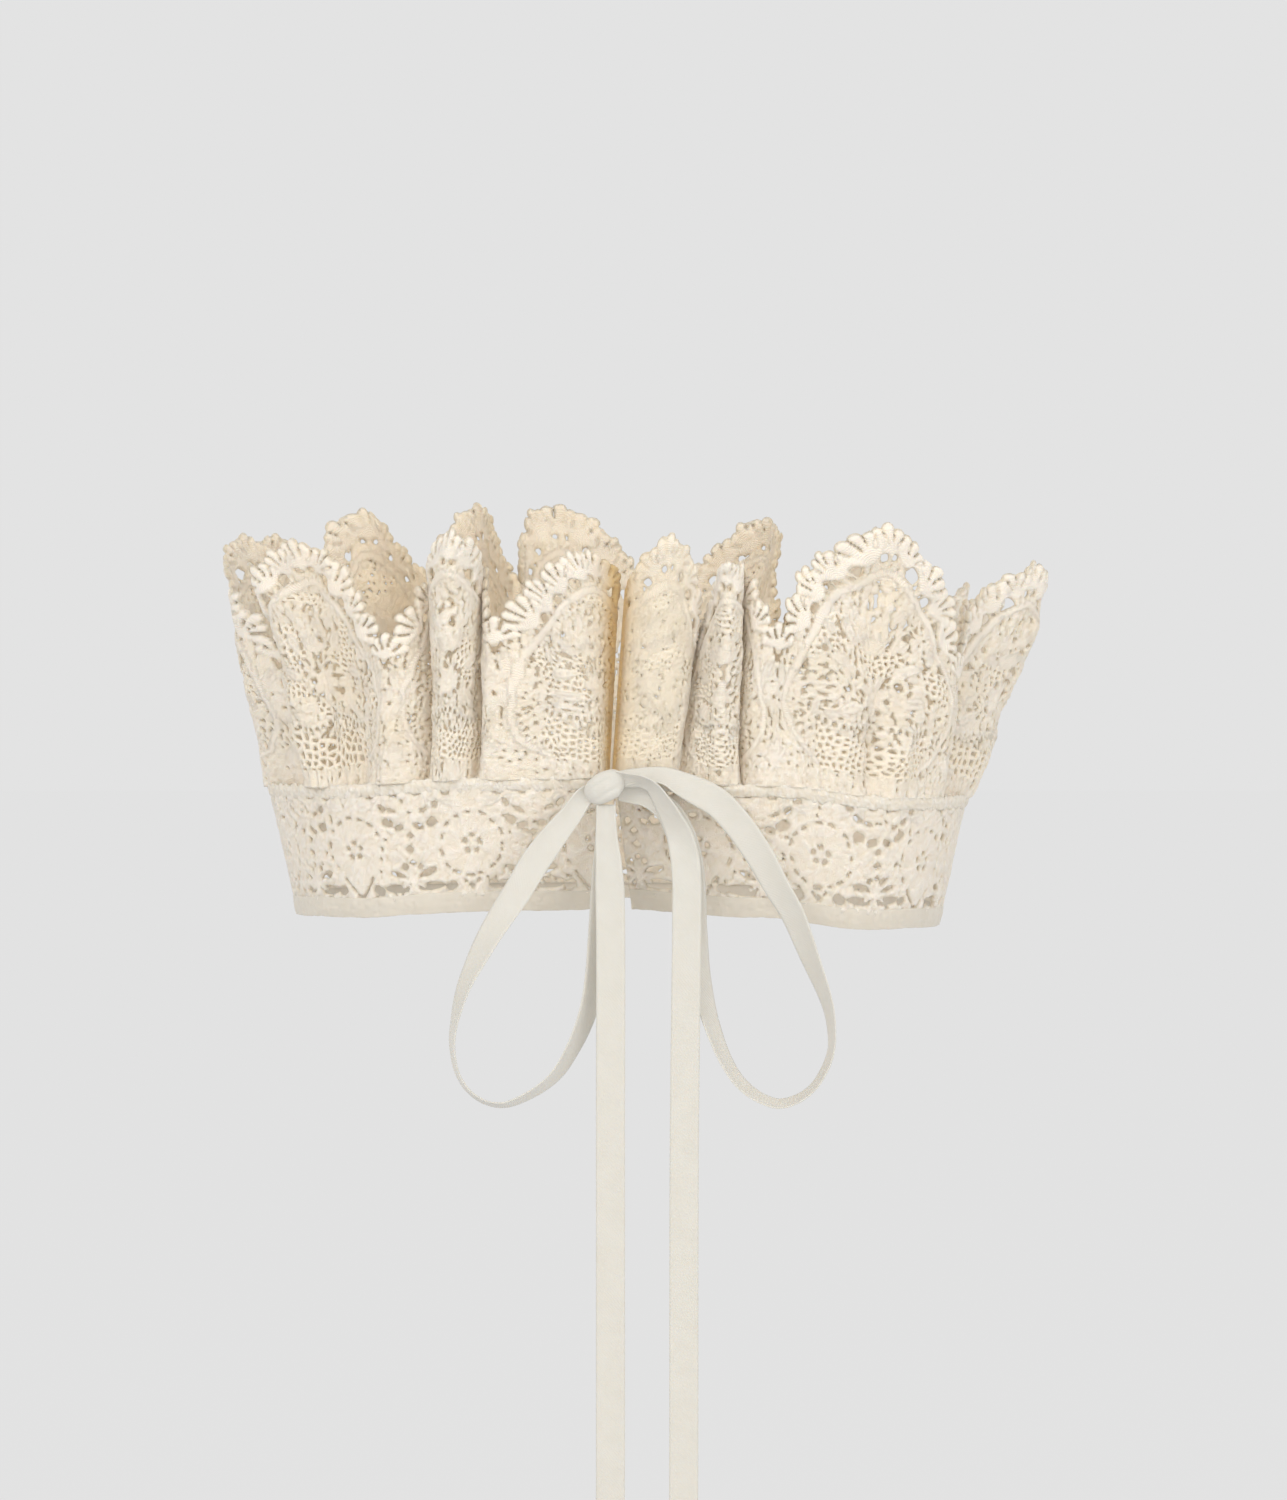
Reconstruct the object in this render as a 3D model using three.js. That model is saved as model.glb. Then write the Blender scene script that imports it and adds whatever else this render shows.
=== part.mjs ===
// A standing neck collar of cotton guipure lace: a tapering lace band on a plain hem tape, a deep
// scalloped ruffle gathered into its top under a seam cord, and a narrow ribbon bow at the open
// front. Millimetres, +Z up, the wearer faces -Y, and the origin is the middle of the neck ring.
import * as THREE from "three";

// ---- Driving dimensions -------------------------------------------------------------------------

const LACE_WALL = 1.2;
const TAPE_WALL = 1.6;
const SEAM_GAP = 0.3;

// Plan of the neck at the hem, at the gathering seam and, flared, at the ruffle's edge.
const HEM_RING = { halfWidth: 68, halfDepth: 54 };
const SEAM_RING = { halfWidth: 74, halfDepth: 60 };
const EDGE_RING = { halfWidth: 84, halfDepth: 70 };
// The neck is rounder behind than in front: exponent of the superellipse at the back and the front.
const BACK_SQUARENESS = 2.5;
const FRONT_SQUARENESS = 3.4;

// Where the band's two front ends stand, as angles from the front, clockwise seen from above.
const BAND_ENDS = { hem: [4.4, 356.6], seam: [2.1, 360.4] };
// The band's left front end has a soft upright ridge, and its right one turns in behind it. Both
// fade towards the seam.
const LEFT_RIDGE = { out: 1.3, place: 4.5, reach: 2.6 };
const RIGHT_TURN = { inward: 3.2, reach: 7.0 };
const FRONT_ENDS_FADE = 0.6;

const HEM_TAPE_HEIGHT = 3.9;
const BAND_HEIGHT = 27.0;
const SEAM_CORD_HEIGHT = 1.9;
const SEAM_CORD_THICKNESS = 1.0;

// The band hangs a little uneven: how high its hem lies at each angle round the neck.
const HEM_LIFT = [
  { angle: 0, lift: 3.8 },
  { angle: 27, lift: 3.3 },
  { angle: 54, lift: 1.3 },
  { angle: 90, lift: 0.0 },
  { angle: 180, lift: 0.0 },
  { angle: 270, lift: -2.2 },
  { angle: 310, lift: -1.1 },
  { angle: 332, lift: 2.0 },
  { angle: 360, lift: 3.8 },
];

// The lace band repeats a round medallion. Beside the star between two medallions the ground is
// open: two long gaps, cut through.
const BAND_REPEATS = 16;
const FIRST_MEDALLION = 1.4;
const LAST_MEDALLION = 15.6;
const BAND_COLUMNS = [0, 0.12, 0.24, 0.34, 0.44, 0.56, 0.66, 0.76, 0.88];
const GAP_STARTS = [0.24, 0.34, 0.56, 0.66];
const GAP_HEIGHT = 6.6;
const GAP_HALF_MIDDLE = 1.3;
const GAP_HALF_ENDS = 0.55;
const PART_TOLERANCE = 0.01;

// The ruffle: one strip of scalloped lace, laid in folds round the seam from the left front end by
// the back to the right front end. A row for each crest, valley and side of a fold:
// seam = its angle on the seam ring, pinch = how far it stands out there, x and y = its place at
// the edge, height = how high the edge stands above the seam, apex = 1 where a scallop has its top.
const FOLDS = [
  { seam: 2.1, pinch: -2.0, x: 0.4, y: -60.6, height: 46, apex: 0 },
  { seam: 3.6, pinch: 0.6, x: -5.2, y: -67.0, height: 47, apex: 1 },
  { seam: 9.0, pinch: 0.8, x: -11.5, y: -70.5, height: 50, apex: 0 },
  { seam: 15.5, pinch: 0.2, x: -18.5, y: -69.0, height: 53, apex: 0 },
  { seam: 24.5, pinch: 0.8, x: -24.8, y: -67.0, height: 55, apex: 0 },
  { seam: 26.8, pinch: -1.8, x: -27.9, y: -60.2, height: 55, apex: 0 },
  { seam: 28.6, pinch: 0.4, x: -29.2, y: -66.0, height: 53, apex: 0 },
  { seam: 31.0, pinch: 0.9, x: -33.8, y: -70.0, height: 52, apex: 1 },
  { seam: 33.2, pinch: 0.4, x: -38.0, y: -65.0, height: 52, apex: 0 },
  { seam: 35.0, pinch: -1.8, x: -39.3, y: -59.2, height: 52, apex: 0 },
  { seam: 37.0, pinch: 0.6, x: -43.8, y: -63.0, height: 52, apex: 0 },
  { seam: 40.5, pinch: 1.2, x: -49.5, y: -63.5, height: 52, apex: 0 },
  { seam: 45.0, pinch: -0.6, x: -58.5, y: -55.5, height: 52, apex: 0 },
  { seam: 49.0, pinch: 0.0, x: -66.5, y: -49.5, height: 52, apex: 1 },
  { seam: 53.5, pinch: 2.0, x: -77.0, y: -41.0, height: 52, apex: 0 },
  { seam: 60.0, pinch: -2.6, x: -76.5, y: -31.0, height: 53, apex: 0 },
  { seam: 78.0, pinch: 0.6, x: -84.5, y: -17.0, height: 54, apex: 0 },
  { seam: 91.0, pinch: 0.0, x: -80.0, y: -3.0, height: 54, apex: 1 },
  { seam: 99.0, pinch: -1.8, x: -71.5, y: 7.0, height: 54, apex: 0 },
  { seam: 107.0, pinch: 0.8, x: -83.0, y: 18.0, height: 54, apex: 0 },
  { seam: 116.0, pinch: 0.0, x: -76.5, y: 30.0, height: 54, apex: 1 },
  { seam: 122.0, pinch: -1.8, x: -60.5, y: 34.0, height: 56, apex: 0 },
  { seam: 129.0, pinch: 0.8, x: -67.0, y: 47.5, height: 58, apex: 0 },
  { seam: 136.0, pinch: 0.4, x: -57.5, y: 53.0, height: 59, apex: 1 },
  { seam: 142.0, pinch: -2.0, x: -45.5, y: 43.5, height: 59, apex: 0 },
  { seam: 147.0, pinch: 0.8, x: -41.5, y: 61.5, height: 60, apex: 0 },
  { seam: 153.0, pinch: 0.2, x: -31.5, y: 61.0, height: 61, apex: 1 },
  { seam: 158.5, pinch: -2.2, x: -25.5, y: 46.0, height: 61, apex: 0 },
  { seam: 163.0, pinch: 0.8, x: -22.0, y: 63.5, height: 61, apex: 0 },
  { seam: 170.0, pinch: 0.4, x: -13.0, y: 66.5, height: 61, apex: 1 },
  { seam: 180.0, pinch: 0.0, x: 10.5, y: 66.0, height: 60, apex: 0 },
  { seam: 192.0, pinch: 0.6, x: 26.0, y: 65.0, height: 59, apex: 0 },
  { seam: 199.0, pinch: 0.4, x: 35.0, y: 61.5, height: 58, apex: 1 },
  { seam: 206.0, pinch: -2.2, x: 39.5, y: 44.0, height: 56, apex: 0 },
  { seam: 212.0, pinch: 0.8, x: 48.0, y: 59.5, height: 56, apex: 0 },
  { seam: 219.0, pinch: 0.2, x: 56.5, y: 52.0, height: 55, apex: 1 },
  { seam: 226.0, pinch: -2.0, x: 55.5, y: 37.0, height: 50, apex: 0 },
  { seam: 234.0, pinch: 0.8, x: 71.5, y: 47.0, height: 46, apex: 0 },
  { seam: 241.0, pinch: 0.2, x: 77.0, y: 36.5, height: 44, apex: 1 },
  { seam: 249.0, pinch: -2.0, x: 66.5, y: 26.0, height: 45, apex: 0 },
  { seam: 258.0, pinch: 0.8, x: 84.0, y: 18.0, height: 46, apex: 1 },
  { seam: 268.0, pinch: -1.8, x: 75.0, y: 4.0, height: 48, apex: 0 },
  { seam: 281.0, pinch: 0.2, x: 91.5, y: -13.0, height: 50, apex: 0 },
  { seam: 286.0, pinch: 0.2, x: 88.0, y: -20.5, height: 50, apex: 1 },
  { seam: 297.0, pinch: -1.6, x: 75.0, y: -35.5, height: 50, apex: 0 },
  { seam: 301.0, pinch: 0.8, x: 75.5, y: -45.0, height: 52, apex: 0 },
  { seam: 307.0, pinch: 0.4, x: 66.5, y: -55.0, height: 55, apex: 0 },
  { seam: 316.0, pinch: 0.6, x: 54.0, y: -61.5, height: 57, apex: 1 },
  { seam: 325.0, pinch: 0.4, x: 42.0, y: -67.0, height: 57, apex: 0 },
  { seam: 334.2, pinch: 0.8, x: 29.2, y: -66.5, height: 56, apex: 0 },
  { seam: 336.0, pinch: -1.6, x: 26.2, y: -60.8, height: 52, apex: 0 },
  { seam: 337.6, pinch: 0.4, x: 25.4, y: -66.0, height: 48, apex: 0 },
  { seam: 341.0, pinch: 0.8, x: 23.0, y: -70.5, height: 47, apex: 1 },
  { seam: 344.5, pinch: 0.4, x: 21.4, y: -65.4, height: 47, apex: 0 },
  { seam: 347.3, pinch: -1.6, x: 19.2, y: -60.2, height: 48, apex: 0 },
  { seam: 349.0, pinch: 0.4, x: 18.3, y: -65.6, height: 50, apex: 0 },
  { seam: 354.0, pinch: 0.8, x: 11.6, y: -69.5, height: 50, apex: 1 },
  { seam: 359.2, pinch: 0.6, x: 4.2, y: -66.8, height: 48, apex: 0 },
  { seam: 360.4, pinch: -2.0, x: 2.8, y: -61.4, height: 47, apex: 0 },
];
const SCALLOP_LENGTH = 48;
const SCALLOP_DEPTH = 0.39;
const SCALLOP_POINT = 1.75;
const SCALLOP_ROUNDING = 0.01;
// A fold is pinched in at the seam and has half its depth a quarter of the way up.
const FOLD_OPENING = 0.5;

const RUFFLE_COLUMN = 3.0;
// Heights of the ruffle's rows, as shares of the edge's height. The bars between the arch cord and
// the edge's fans leave gaps in one of them.
const RUFFLE_ROWS = [0, 0.12, 0.3, 0.52, 0.7, 0.83, 0.9, 1];
const GAP_ROW = 5;
const GAPS_PER_SCALLOP = 6;

// The ribbon and its knot.
const RIBBON = { width: 6.0, thickness: 1.0 };
const KNOT = { x: -2.4, y: -66.4, z: 29.9, halfWidth: 4.0, halfDepth: 2.6, halfHeight: 3.6 };
const TIE = { y: -63.1, from: -5.5, to: 7.5, low: 27.2, high: 30.8, thickness: 0.8, steps: 9 };

// Each stretch of ribbon: the points its middle runs through, and its roll, 0 where its flat side
// faces the front and 90 where it stands edge-on.
const LEFT_LOOP = [
  { x: -6.8, y: -66.0, z: 27.4, roll: 0 },
  { x: -9.2, y: -66.1, z: 24.0, roll: 2 },
  { x: -11.7, y: -66.2, z: 20.9, roll: 4 },
  { x: -14.1, y: -66.4, z: 17.8, roll: 6 },
  { x: -17.2, y: -66.6, z: 13.4, roll: 10 },
  { x: -20.0, y: -66.9, z: 8.6, roll: 18 },
  { x: -23.5, y: -67.2, z: 3.2, roll: 28 },
  { x: -26.2, y: -67.4, z: -1.2, roll: 38 },
  { x: -29.0, y: -67.7, z: -6.5, roll: 50 },
  { x: -31.6, y: -67.9, z: -12.4, roll: 64 },
  { x: -33.2, y: -68.0, z: -18.4, roll: 76 },
  { x: -33.7, y: -68.0, z: -24.2, roll: 80 },
  { x: -32.6, y: -67.9, z: -29.6, roll: 80 },
  { x: -30.2, y: -67.8, z: -33.2, roll: 80 },
  { x: -26.9, y: -67.6, z: -35.3, roll: 78 },
  { x: -23.2, y: -67.2, z: -35.8, roll: 76 },
  { x: -18.6, y: -66.4, z: -34.2, roll: 72 },
  { x: -14.6, y: -65.6, z: -31.6, roll: 68 },
  { x: -11.6, y: -64.8, z: -28.6, roll: 64 },
  { x: -9.2, y: -64.0, z: -24.6, roll: 60 },
  { x: -7.2, y: -63.5, z: -20.2, roll: 55 },
  { x: -5.7, y: -63.2, z: -15.8, roll: 50 },
  { x: -4.4, y: -63.1, z: -9.6, roll: 42 },
  { x: -3.3, y: -63.2, z: -1.6, roll: 26 },
  { x: -2.5, y: -63.6, z: 7.0, roll: 10 },
  { x: -2.2, y: -64.2, z: 15.0, roll: 2 },
  { x: -2.2, y: -64.6, z: 21.0, roll: 0 },
  { x: -2.3, y: -64.7, z: 25.8, roll: 0 },
];
const RIGHT_LOOP = [
  { x: 2.2, y: -65.3, z: 31.2, roll: 0 },
  { x: 4.6, y: -65.2, z: 31.6, roll: 0 },
  { x: 7.4, y: -65.1, z: 31.8, roll: 0 },
  { x: 10.3, y: -65.1, z: 31.4, roll: 0 },
  { x: 13.4, y: -65.2, z: 30.0, roll: 0 },
  { x: 17.1, y: -65.4, z: 28.3, roll: 0 },
  { x: 20.6, y: -65.7, z: 26.3, roll: 2 },
  { x: 24.2, y: -66.0, z: 22.7, roll: 6 },
  { x: 28.9, y: -66.5, z: 16.2, roll: 16 },
  { x: 32.6, y: -66.9, z: 9.6, roll: 26 },
  { x: 36.6, y: -67.3, z: 2.6, roll: 38 },
  { x: 39.6, y: -67.6, z: -5.0, roll: 50 },
  { x: 42.4, y: -67.8, z: -12.0, roll: 62 },
  { x: 44.1, y: -68.0, z: -18.5, roll: 74 },
  { x: 44.2, y: -68.0, z: -24.5, roll: 80 },
  { x: 42.7, y: -67.9, z: -29.0, roll: 80 },
  { x: 40.3, y: -67.8, z: -32.4, roll: 80 },
  { x: 37.0, y: -67.6, z: -34.8, roll: 78 },
  { x: 33.3, y: -67.3, z: -35.8, roll: 76 },
  { x: 28.9, y: -66.6, z: -34.3, roll: 74 },
  { x: 25.4, y: -65.8, z: -31.6, roll: 70 },
  { x: 22.8, y: -65.0, z: -27.8, roll: 66 },
  { x: 20.6, y: -64.2, z: -23.0, roll: 62 },
  { x: 18.7, y: -63.4, z: -17.0, roll: 56 },
  { x: 17.1, y: -62.8, z: -9.6, roll: 46 },
  { x: 15.9, y: -62.6, z: 0.0, roll: 28 },
  { x: 15.3, y: -62.9, z: 9.0, roll: 10 },
  { x: 14.6, y: -63.3, z: 14.8, roll: 0 },
  { x: 12.9, y: -63.7, z: 20.2, roll: 0 },
  { x: 10.2, y: -64.0, z: 24.8, roll: 0 },
  { x: 6.4, y: -64.2, z: 27.4, roll: 0 },
  { x: 2.6, y: -64.2, z: 28.2, roll: 0 },
];
const LEFT_TAIL = [
  { x: -2.2, y: -67.1, z: 25.9, roll: 0 },
  { x: -2.1, y: -67.1, z: 20.0, roll: 0 },
  { x: -1.6, y: -67.0, z: 13.0, roll: 0 },
  { x: -1.3, y: -66.9, z: 4.0, roll: 0 },
  { x: -1.3, y: -66.8, z: -44.0, roll: 0 },
  { x: -1.3, y: -66.6, z: -100.0, roll: 0 },
  { x: -1.4, y: -66.4, z: -160.0, roll: 0 },
];
const RIGHT_TAIL = [
  { x: 2.2, y: -67.4, z: 31.2, roll: 0 },
  { x: 4.8, y: -67.6, z: 31.0, roll: 0 },
  { x: 7.4, y: -67.6, z: 29.6, roll: 0 },
  { x: 9.7, y: -67.5, z: 26.2, roll: 0 },
  { x: 11.5, y: -67.4, z: 22.8, roll: 0 },
  { x: 13.0, y: -67.3, z: 19.4, roll: 0 },
  { x: 14.0, y: -67.2, z: 15.0, roll: 0 },
  { x: 14.4, y: -67.1, z: 10.0, roll: 0 },
  { x: 14.4, y: -67.0, z: 3.2, roll: 0 },
  { x: 13.9, y: -66.9, z: -44.0, roll: 0 },
  { x: 13.8, y: -66.7, z: -100.0, roll: 0 },
  { x: 13.7, y: -66.5, z: -166.0, roll: 0 },
];

// How finely the curves are followed.
const LOOP_STEPS = 62;
const TAIL_STEPS = 28;
const STRIP_STEP = 5.0;
const ARC_STEPS = 720;
const EDGE_STEPS_PER_FOLD = 24;
const KNOT_SEGMENTS = { around: 16, upwards: 10 };

const COTTON = new THREE.MeshStandardMaterial({ color: 0xefe6d3, roughness: 0.9, metalness: 0 });
const RIBBON_CLOTH = new THREE.MeshStandardMaterial({ color: 0xeee8da, roughness: 0.6, metalness: 0 });

// ---- Plan of the neck ---------------------------------------------------------------------------

const radians = THREE.MathUtils.degToRad;

/** The point of a ring at an angle in degrees, counted from the front by the left and the back. */
function onRing(ring, angle) {
  const across = Math.sin(radians(angle));
  const along = Math.cos(radians(angle));
  const frontShare = (1 + along) / 2;
  const power = THREE.MathUtils.lerp(BACK_SQUARENESS, FRONT_SQUARENESS, frontShare);
  const sum = (Math.abs(across) / ring.halfWidth) ** power + (Math.abs(along) / ring.halfDepth) ** power;
  const radius = sum ** (-1 / power);
  return new THREE.Vector2(-radius * across, -radius * along);
}

/** Height of the hem at an angle, eased from row to row of the table. */
function hemLift(angle) {
  const turn = THREE.MathUtils.clamp(angle, 0, 360);
  const next = Math.max(1, HEM_LIFT.findIndex((row) => row.angle >= turn));
  const from = HEM_LIFT[next - 1];
  const to = HEM_LIFT[next];
  const share = THREE.MathUtils.smoothstep(turn, from.angle, to.angle);
  return THREE.MathUtils.lerp(from.lift, to.lift, share);
}

/** Angles that divide an arc of a ring into equal lengths: angleAt(share) for a share of 0 to 1. */
function equalArcs(ring, [startAngle, endAngle]) {
  const angles = [];
  const lengths = [0];
  for (let i = 0; i <= ARC_STEPS; i += 1) {
    angles.push(THREE.MathUtils.lerp(startAngle, endAngle, i / ARC_STEPS));
    if (i > 0) {
      const chord = onRing(ring, angles[i]).distanceTo(onRing(ring, angles[i - 1]));
      lengths.push(lengths[i - 1] + chord);
    }
  }
  const total = lengths[ARC_STEPS];
  const angleAt = (share) => interpolate(lengths, angles, share * total);
  return { total, angleAt };
}

/** Straight-line interpolation in a rising list of places. */
function interpolate(places, values, place) {
  const last = places.length - 1;
  const next = Math.min(last, Math.max(1, places.findIndex((p) => p >= place)));
  const upper = place > places[last] ? last : next;
  const share = (place - places[upper - 1]) / (places[upper] - places[upper - 1]);
  return THREE.MathUtils.lerp(values[upper - 1], values[upper], THREE.MathUtils.clamp(share, 0, 1));
}

// ---- Cloth walls --------------------------------------------------------------------------------

/** Mean outward normal of the grid at one point. */
function gridNormal(grid, i, j) {
  const before = grid[Math.max(0, i - 1)][j];
  const after = grid[Math.min(grid.length - 1, i + 1)][j];
  const below = grid[i][Math.max(0, j - 1)];
  const above = grid[i][Math.min(grid[i].length - 1, j + 1)];
  const along = new THREE.Vector3().subVectors(after, before);
  const up = new THREE.Vector3().subVectors(above, below);
  return up.cross(along).normalize();
}

/**
 * A closed wall round a grid of middle points, grid[column][row]. inner and outer are how far its
 * faces lie from the middle, and isGap says which cells are left out, with walls round them.
 */
function clothWall(grid, inner, outer, isGap = () => false) {
  const columns = grid.length;
  const rows = grid[0].length;
  const positions = [];
  for (const offset of [outer, inner]) {
    for (let i = 0; i < columns; i += 1) {
      for (let j = 0; j < rows; j += 1) {
        const point = grid[i][j].clone().addScaledVector(gridNormal(grid, i, j), offset);
        positions.push(point.x, point.y, point.z);
      }
    }
  }
  const outerAt = (i, j) => i * rows + j;
  const innerAt = (i, j) => columns * rows + i * rows + j;
  const isSolid = (i, j) => i >= 0 && j >= 0 && i < columns - 1 && j < rows - 1 && !isGap(i, j);
  const faces = [];
  const quad = (a, b, c, d) => faces.push(a, b, c, a, c, d);
  const rim = (i0, j0, i1, j1) => quad(outerAt(i0, j0), innerAt(i0, j0), innerAt(i1, j1), outerAt(i1, j1));
  for (let i = 0; i < columns - 1; i += 1) {
    for (let j = 0; j < rows - 1; j += 1) {
      if (isSolid(i, j)) {
        quad(outerAt(i, j), outerAt(i, j + 1), outerAt(i + 1, j + 1), outerAt(i + 1, j));
        quad(innerAt(i, j), innerAt(i + 1, j), innerAt(i + 1, j + 1), innerAt(i, j + 1));
        if (!isSolid(i - 1, j)) rim(i, j, i, j + 1);
        if (!isSolid(i + 1, j)) rim(i + 1, j + 1, i + 1, j);
        if (!isSolid(i, j - 1)) rim(i + 1, j, i, j);
        if (!isSolid(i, j + 1)) rim(i, j + 1, i + 1, j + 1);
      }
    }
  }
  return withoutLooseVertices(positions, faces);
}

/** A geometry of the vertices that its faces use. */
function withoutLooseVertices(positions, faces) {
  const renumbered = new Map();
  const kept = [];
  const index = faces.map((vertex) => {
    if (!renumbered.has(vertex)) {
      renumbered.set(vertex, kept.length / 3);
      kept.push(...positions.slice(3 * vertex, 3 * vertex + 3));
    }
    return renumbered.get(vertex);
  });
  const geometry = new THREE.BufferGeometry();
  geometry.setAttribute("position", new THREE.Float32BufferAttribute(kept, 3));
  geometry.setIndex(index);
  geometry.computeVertexNormals();
  return geometry;
}

function piece(name, geometry, material) {
  const mesh = new THREE.Mesh(geometry, material);
  mesh.name = name;
  return mesh;
}

// ---- Band, hem tape and seam cord ---------------------------------------------------------------

const hemArc = equalArcs(HEM_RING, BAND_ENDS.hem);
const seamArc = equalArcs(SEAM_RING, BAND_ENDS.seam);
const bandLength = (hemArc.total + seamArc.total) / 2;
const repeatLength = (bandLength - FIRST_MEDALLION - LAST_MEDALLION) / BAND_REPEATS;

/** How far the band's front ends leave the ring at a share of its length. */
function frontEndOffset(share) {
  const fromLeft = share * bandLength;
  const fromRight = (1 - share) * bandLength;
  const ridge = LEFT_RIDGE.out * Math.exp(-(((fromLeft - LEFT_RIDGE.place) / LEFT_RIDGE.reach) ** 2));
  const turnedIn = RIGHT_TURN.inward * Math.exp(-((fromRight / RIGHT_TURN.reach) ** 2));
  return ridge - turnedIn;
}

/** A point of the band at a share of its length and a height above the hem, moved out from it. */
function onBand(share, height, out = 0) {
  const hemAngle = hemArc.angleAt(share);
  const seamAngle = seamArc.angleAt(share);
  const rise = height / BAND_HEIGHT;
  const plan = onRing(HEM_RING, hemAngle).lerp(onRing(SEAM_RING, seamAngle), rise);
  const outward = plan.clone().normalize();
  const fromRing = out + frontEndOffset(share) * (1 - FRONT_ENDS_FADE * rise);
  plan.addScaledVector(outward, fromRing);
  const angle = THREE.MathUtils.lerp(hemAngle, seamAngle, rise);
  return new THREE.Vector3(plan.x, plan.y, hemLift(angle) + height);
}

/** Shares of the band's length from one place to another, with every pattern column between them. */
function patternColumns(start, end) {
  const columns = [start];
  for (let repeat = -1; repeat <= BAND_REPEATS + 1; repeat += 1) {
    for (const part of BAND_COLUMNS) {
      const place = FIRST_MEDALLION + (repeat + part) * repeatLength;
      if (place > start + 1 && place < end - 1) columns.push(place);
    }
  }
  columns.push(end);
  return columns;
}

/** Which part of a repeat a place on the band lies in, from 0 at one medallion to 1 at the next. */
function repeatPart(place) {
  return THREE.MathUtils.euclideanModulo((place - FIRST_MEDALLION) / repeatLength, 1);
}

/** The lace of the band between two places, with the gaps beside each star left out. */
function laceBand(start, end) {
  const columns = patternColumns(start, end);
  const isNear = (part, target) => Math.abs(part - target) < PART_TOLERANCE;
  const grid = columns.map((place) => {
    const part = repeatPart(place);
    const isMiddle = isNear(part, 0.34) || isNear(part, 0.66);
    const half = isMiddle ? GAP_HALF_MIDDLE : GAP_HALF_ENDS;
    const bottom = HEM_TAPE_HEIGHT + SEAM_GAP;
    const heights = [bottom, GAP_HEIGHT - half, GAP_HEIGHT + half, BAND_HEIGHT];
    return heights.map((height) => onBand(place / bandLength, height));
  });
  const isWhole = (i) => columns[i] > start && columns[i + 1] < end;
  const isGap = (i, j) => {
    const part = repeatPart(columns[i]);
    return j === 1 && isWhole(i) && GAP_STARTS.some((gapStart) => isNear(part, gapStart));
  };
  return clothWall(grid, -LACE_WALL / 2, LACE_WALL / 2, isGap);
}

/** A plain strip that follows the band from one place to another. */
function bandStrip(start, end, low, high, inner, outer) {
  const count = Math.round((end - start) / STRIP_STEP);
  const grid = [];
  for (let i = 0; i <= count; i += 1) {
    const share = THREE.MathUtils.lerp(start, end, i / count) / bandLength;
    grid.push([onBand(share, low), onBand(share, high)]);
  }
  return clothWall(grid, inner, outer);
}

function buildBand() {
  const group = new THREE.Group();
  const middle = FIRST_MEDALLION + (BAND_REPEATS / 2) * repeatLength;
  const cordInner = LACE_WALL / 2 + SEAM_GAP;
  const cordOuter = cordInner + SEAM_CORD_THICKNESS;
  const cordLow = BAND_HEIGHT - SEAM_CORD_HEIGHT;
  const halves = [
    { side: "left", start: 0, end: middle - SEAM_GAP / 2 },
    { side: "right", start: middle + SEAM_GAP / 2, end: bandLength },
  ];
  for (const { side, start, end } of halves) {
    const tape = bandStrip(start, end, 0, HEM_TAPE_HEIGHT, -TAPE_WALL / 2, TAPE_WALL / 2);
    const cord = bandStrip(start, end, cordLow, BAND_HEIGHT, cordInner, cordOuter);
    group.add(piece(`lace_band_${side}`, laceBand(start, end), COTTON));
    group.add(piece(`hem_tape_${side}`, tape, COTTON));
    group.add(piece(`seam_cord_${side}`, cord, COTTON));
  }
  return group;
}

// ---- Ruffle -------------------------------------------------------------------------------------

const foldCount = FOLDS.length - 1;

const edgeCurve = new THREE.CatmullRomCurve3(
  FOLDS.map(({ x, y, height }) => new THREE.Vector3(x, y, height)),
);
const seamCurve = new THREE.CatmullRomCurve3(
  FOLDS.map(({ seam, pinch }) => {
    const plan = onRing(SEAM_RING, seam);
    plan.addScaledVector(plan.clone().normalize(), pinch);
    return new THREE.Vector3(plan.x, plan.y, seam);
  }),
);

/** Lengths along the edge at even steps of the fold rows, and where each scallop's top lies. */
function measureEdge() {
  const steps = foldCount * EDGE_STEPS_PER_FOLD;
  const folds = [0];
  const lengths = [0];
  for (let i = 1; i <= steps; i += 1) {
    const before = edgeCurve.getPoint((i - 1) / steps);
    const here = edgeCurve.getPoint(i / steps);
    folds.push((i / steps) * foldCount);
    lengths.push(lengths[i - 1] + Math.hypot(here.x - before.x, here.y - before.y));
  }
  const tops = [];
  FOLDS.forEach(({ apex }, row) => {
    if (apex) tops.push(interpolate(folds, lengths, row));
  });
  return { folds, lengths, tops, total: lengths[steps] };
}

const edge = measureEdge();

/** Distance from the nearest scallop's top, 0 there and 1 in the notch between two scallops. */
function fromScallopTop(length) {
  const { tops } = edge;
  const following = tops.findIndex((top) => top >= length);
  if (following === 0) return Math.min(1, (2 * (tops[0] - length)) / SCALLOP_LENGTH);
  if (following < 0) return Math.min(1, (2 * (length - tops[tops.length - 1])) / SCALLOP_LENGTH);
  const share = (length - tops[following - 1]) / (tops[following] - tops[following - 1]);
  return 2 * Math.min(share, 1 - share);
}

/** Height of the scalloped edge at a place along it, as a share of a scallop's full height. */
function scallopHeight(length) {
  const distance = Math.sqrt(fromScallopTop(length) ** 2 + SCALLOP_ROUNDING);
  const topDrop = SCALLOP_ROUNDING ** (SCALLOP_POINT / 2);
  return 1 - SCALLOP_DEPTH * (distance ** SCALLOP_POINT - topDrop);
}

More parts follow.
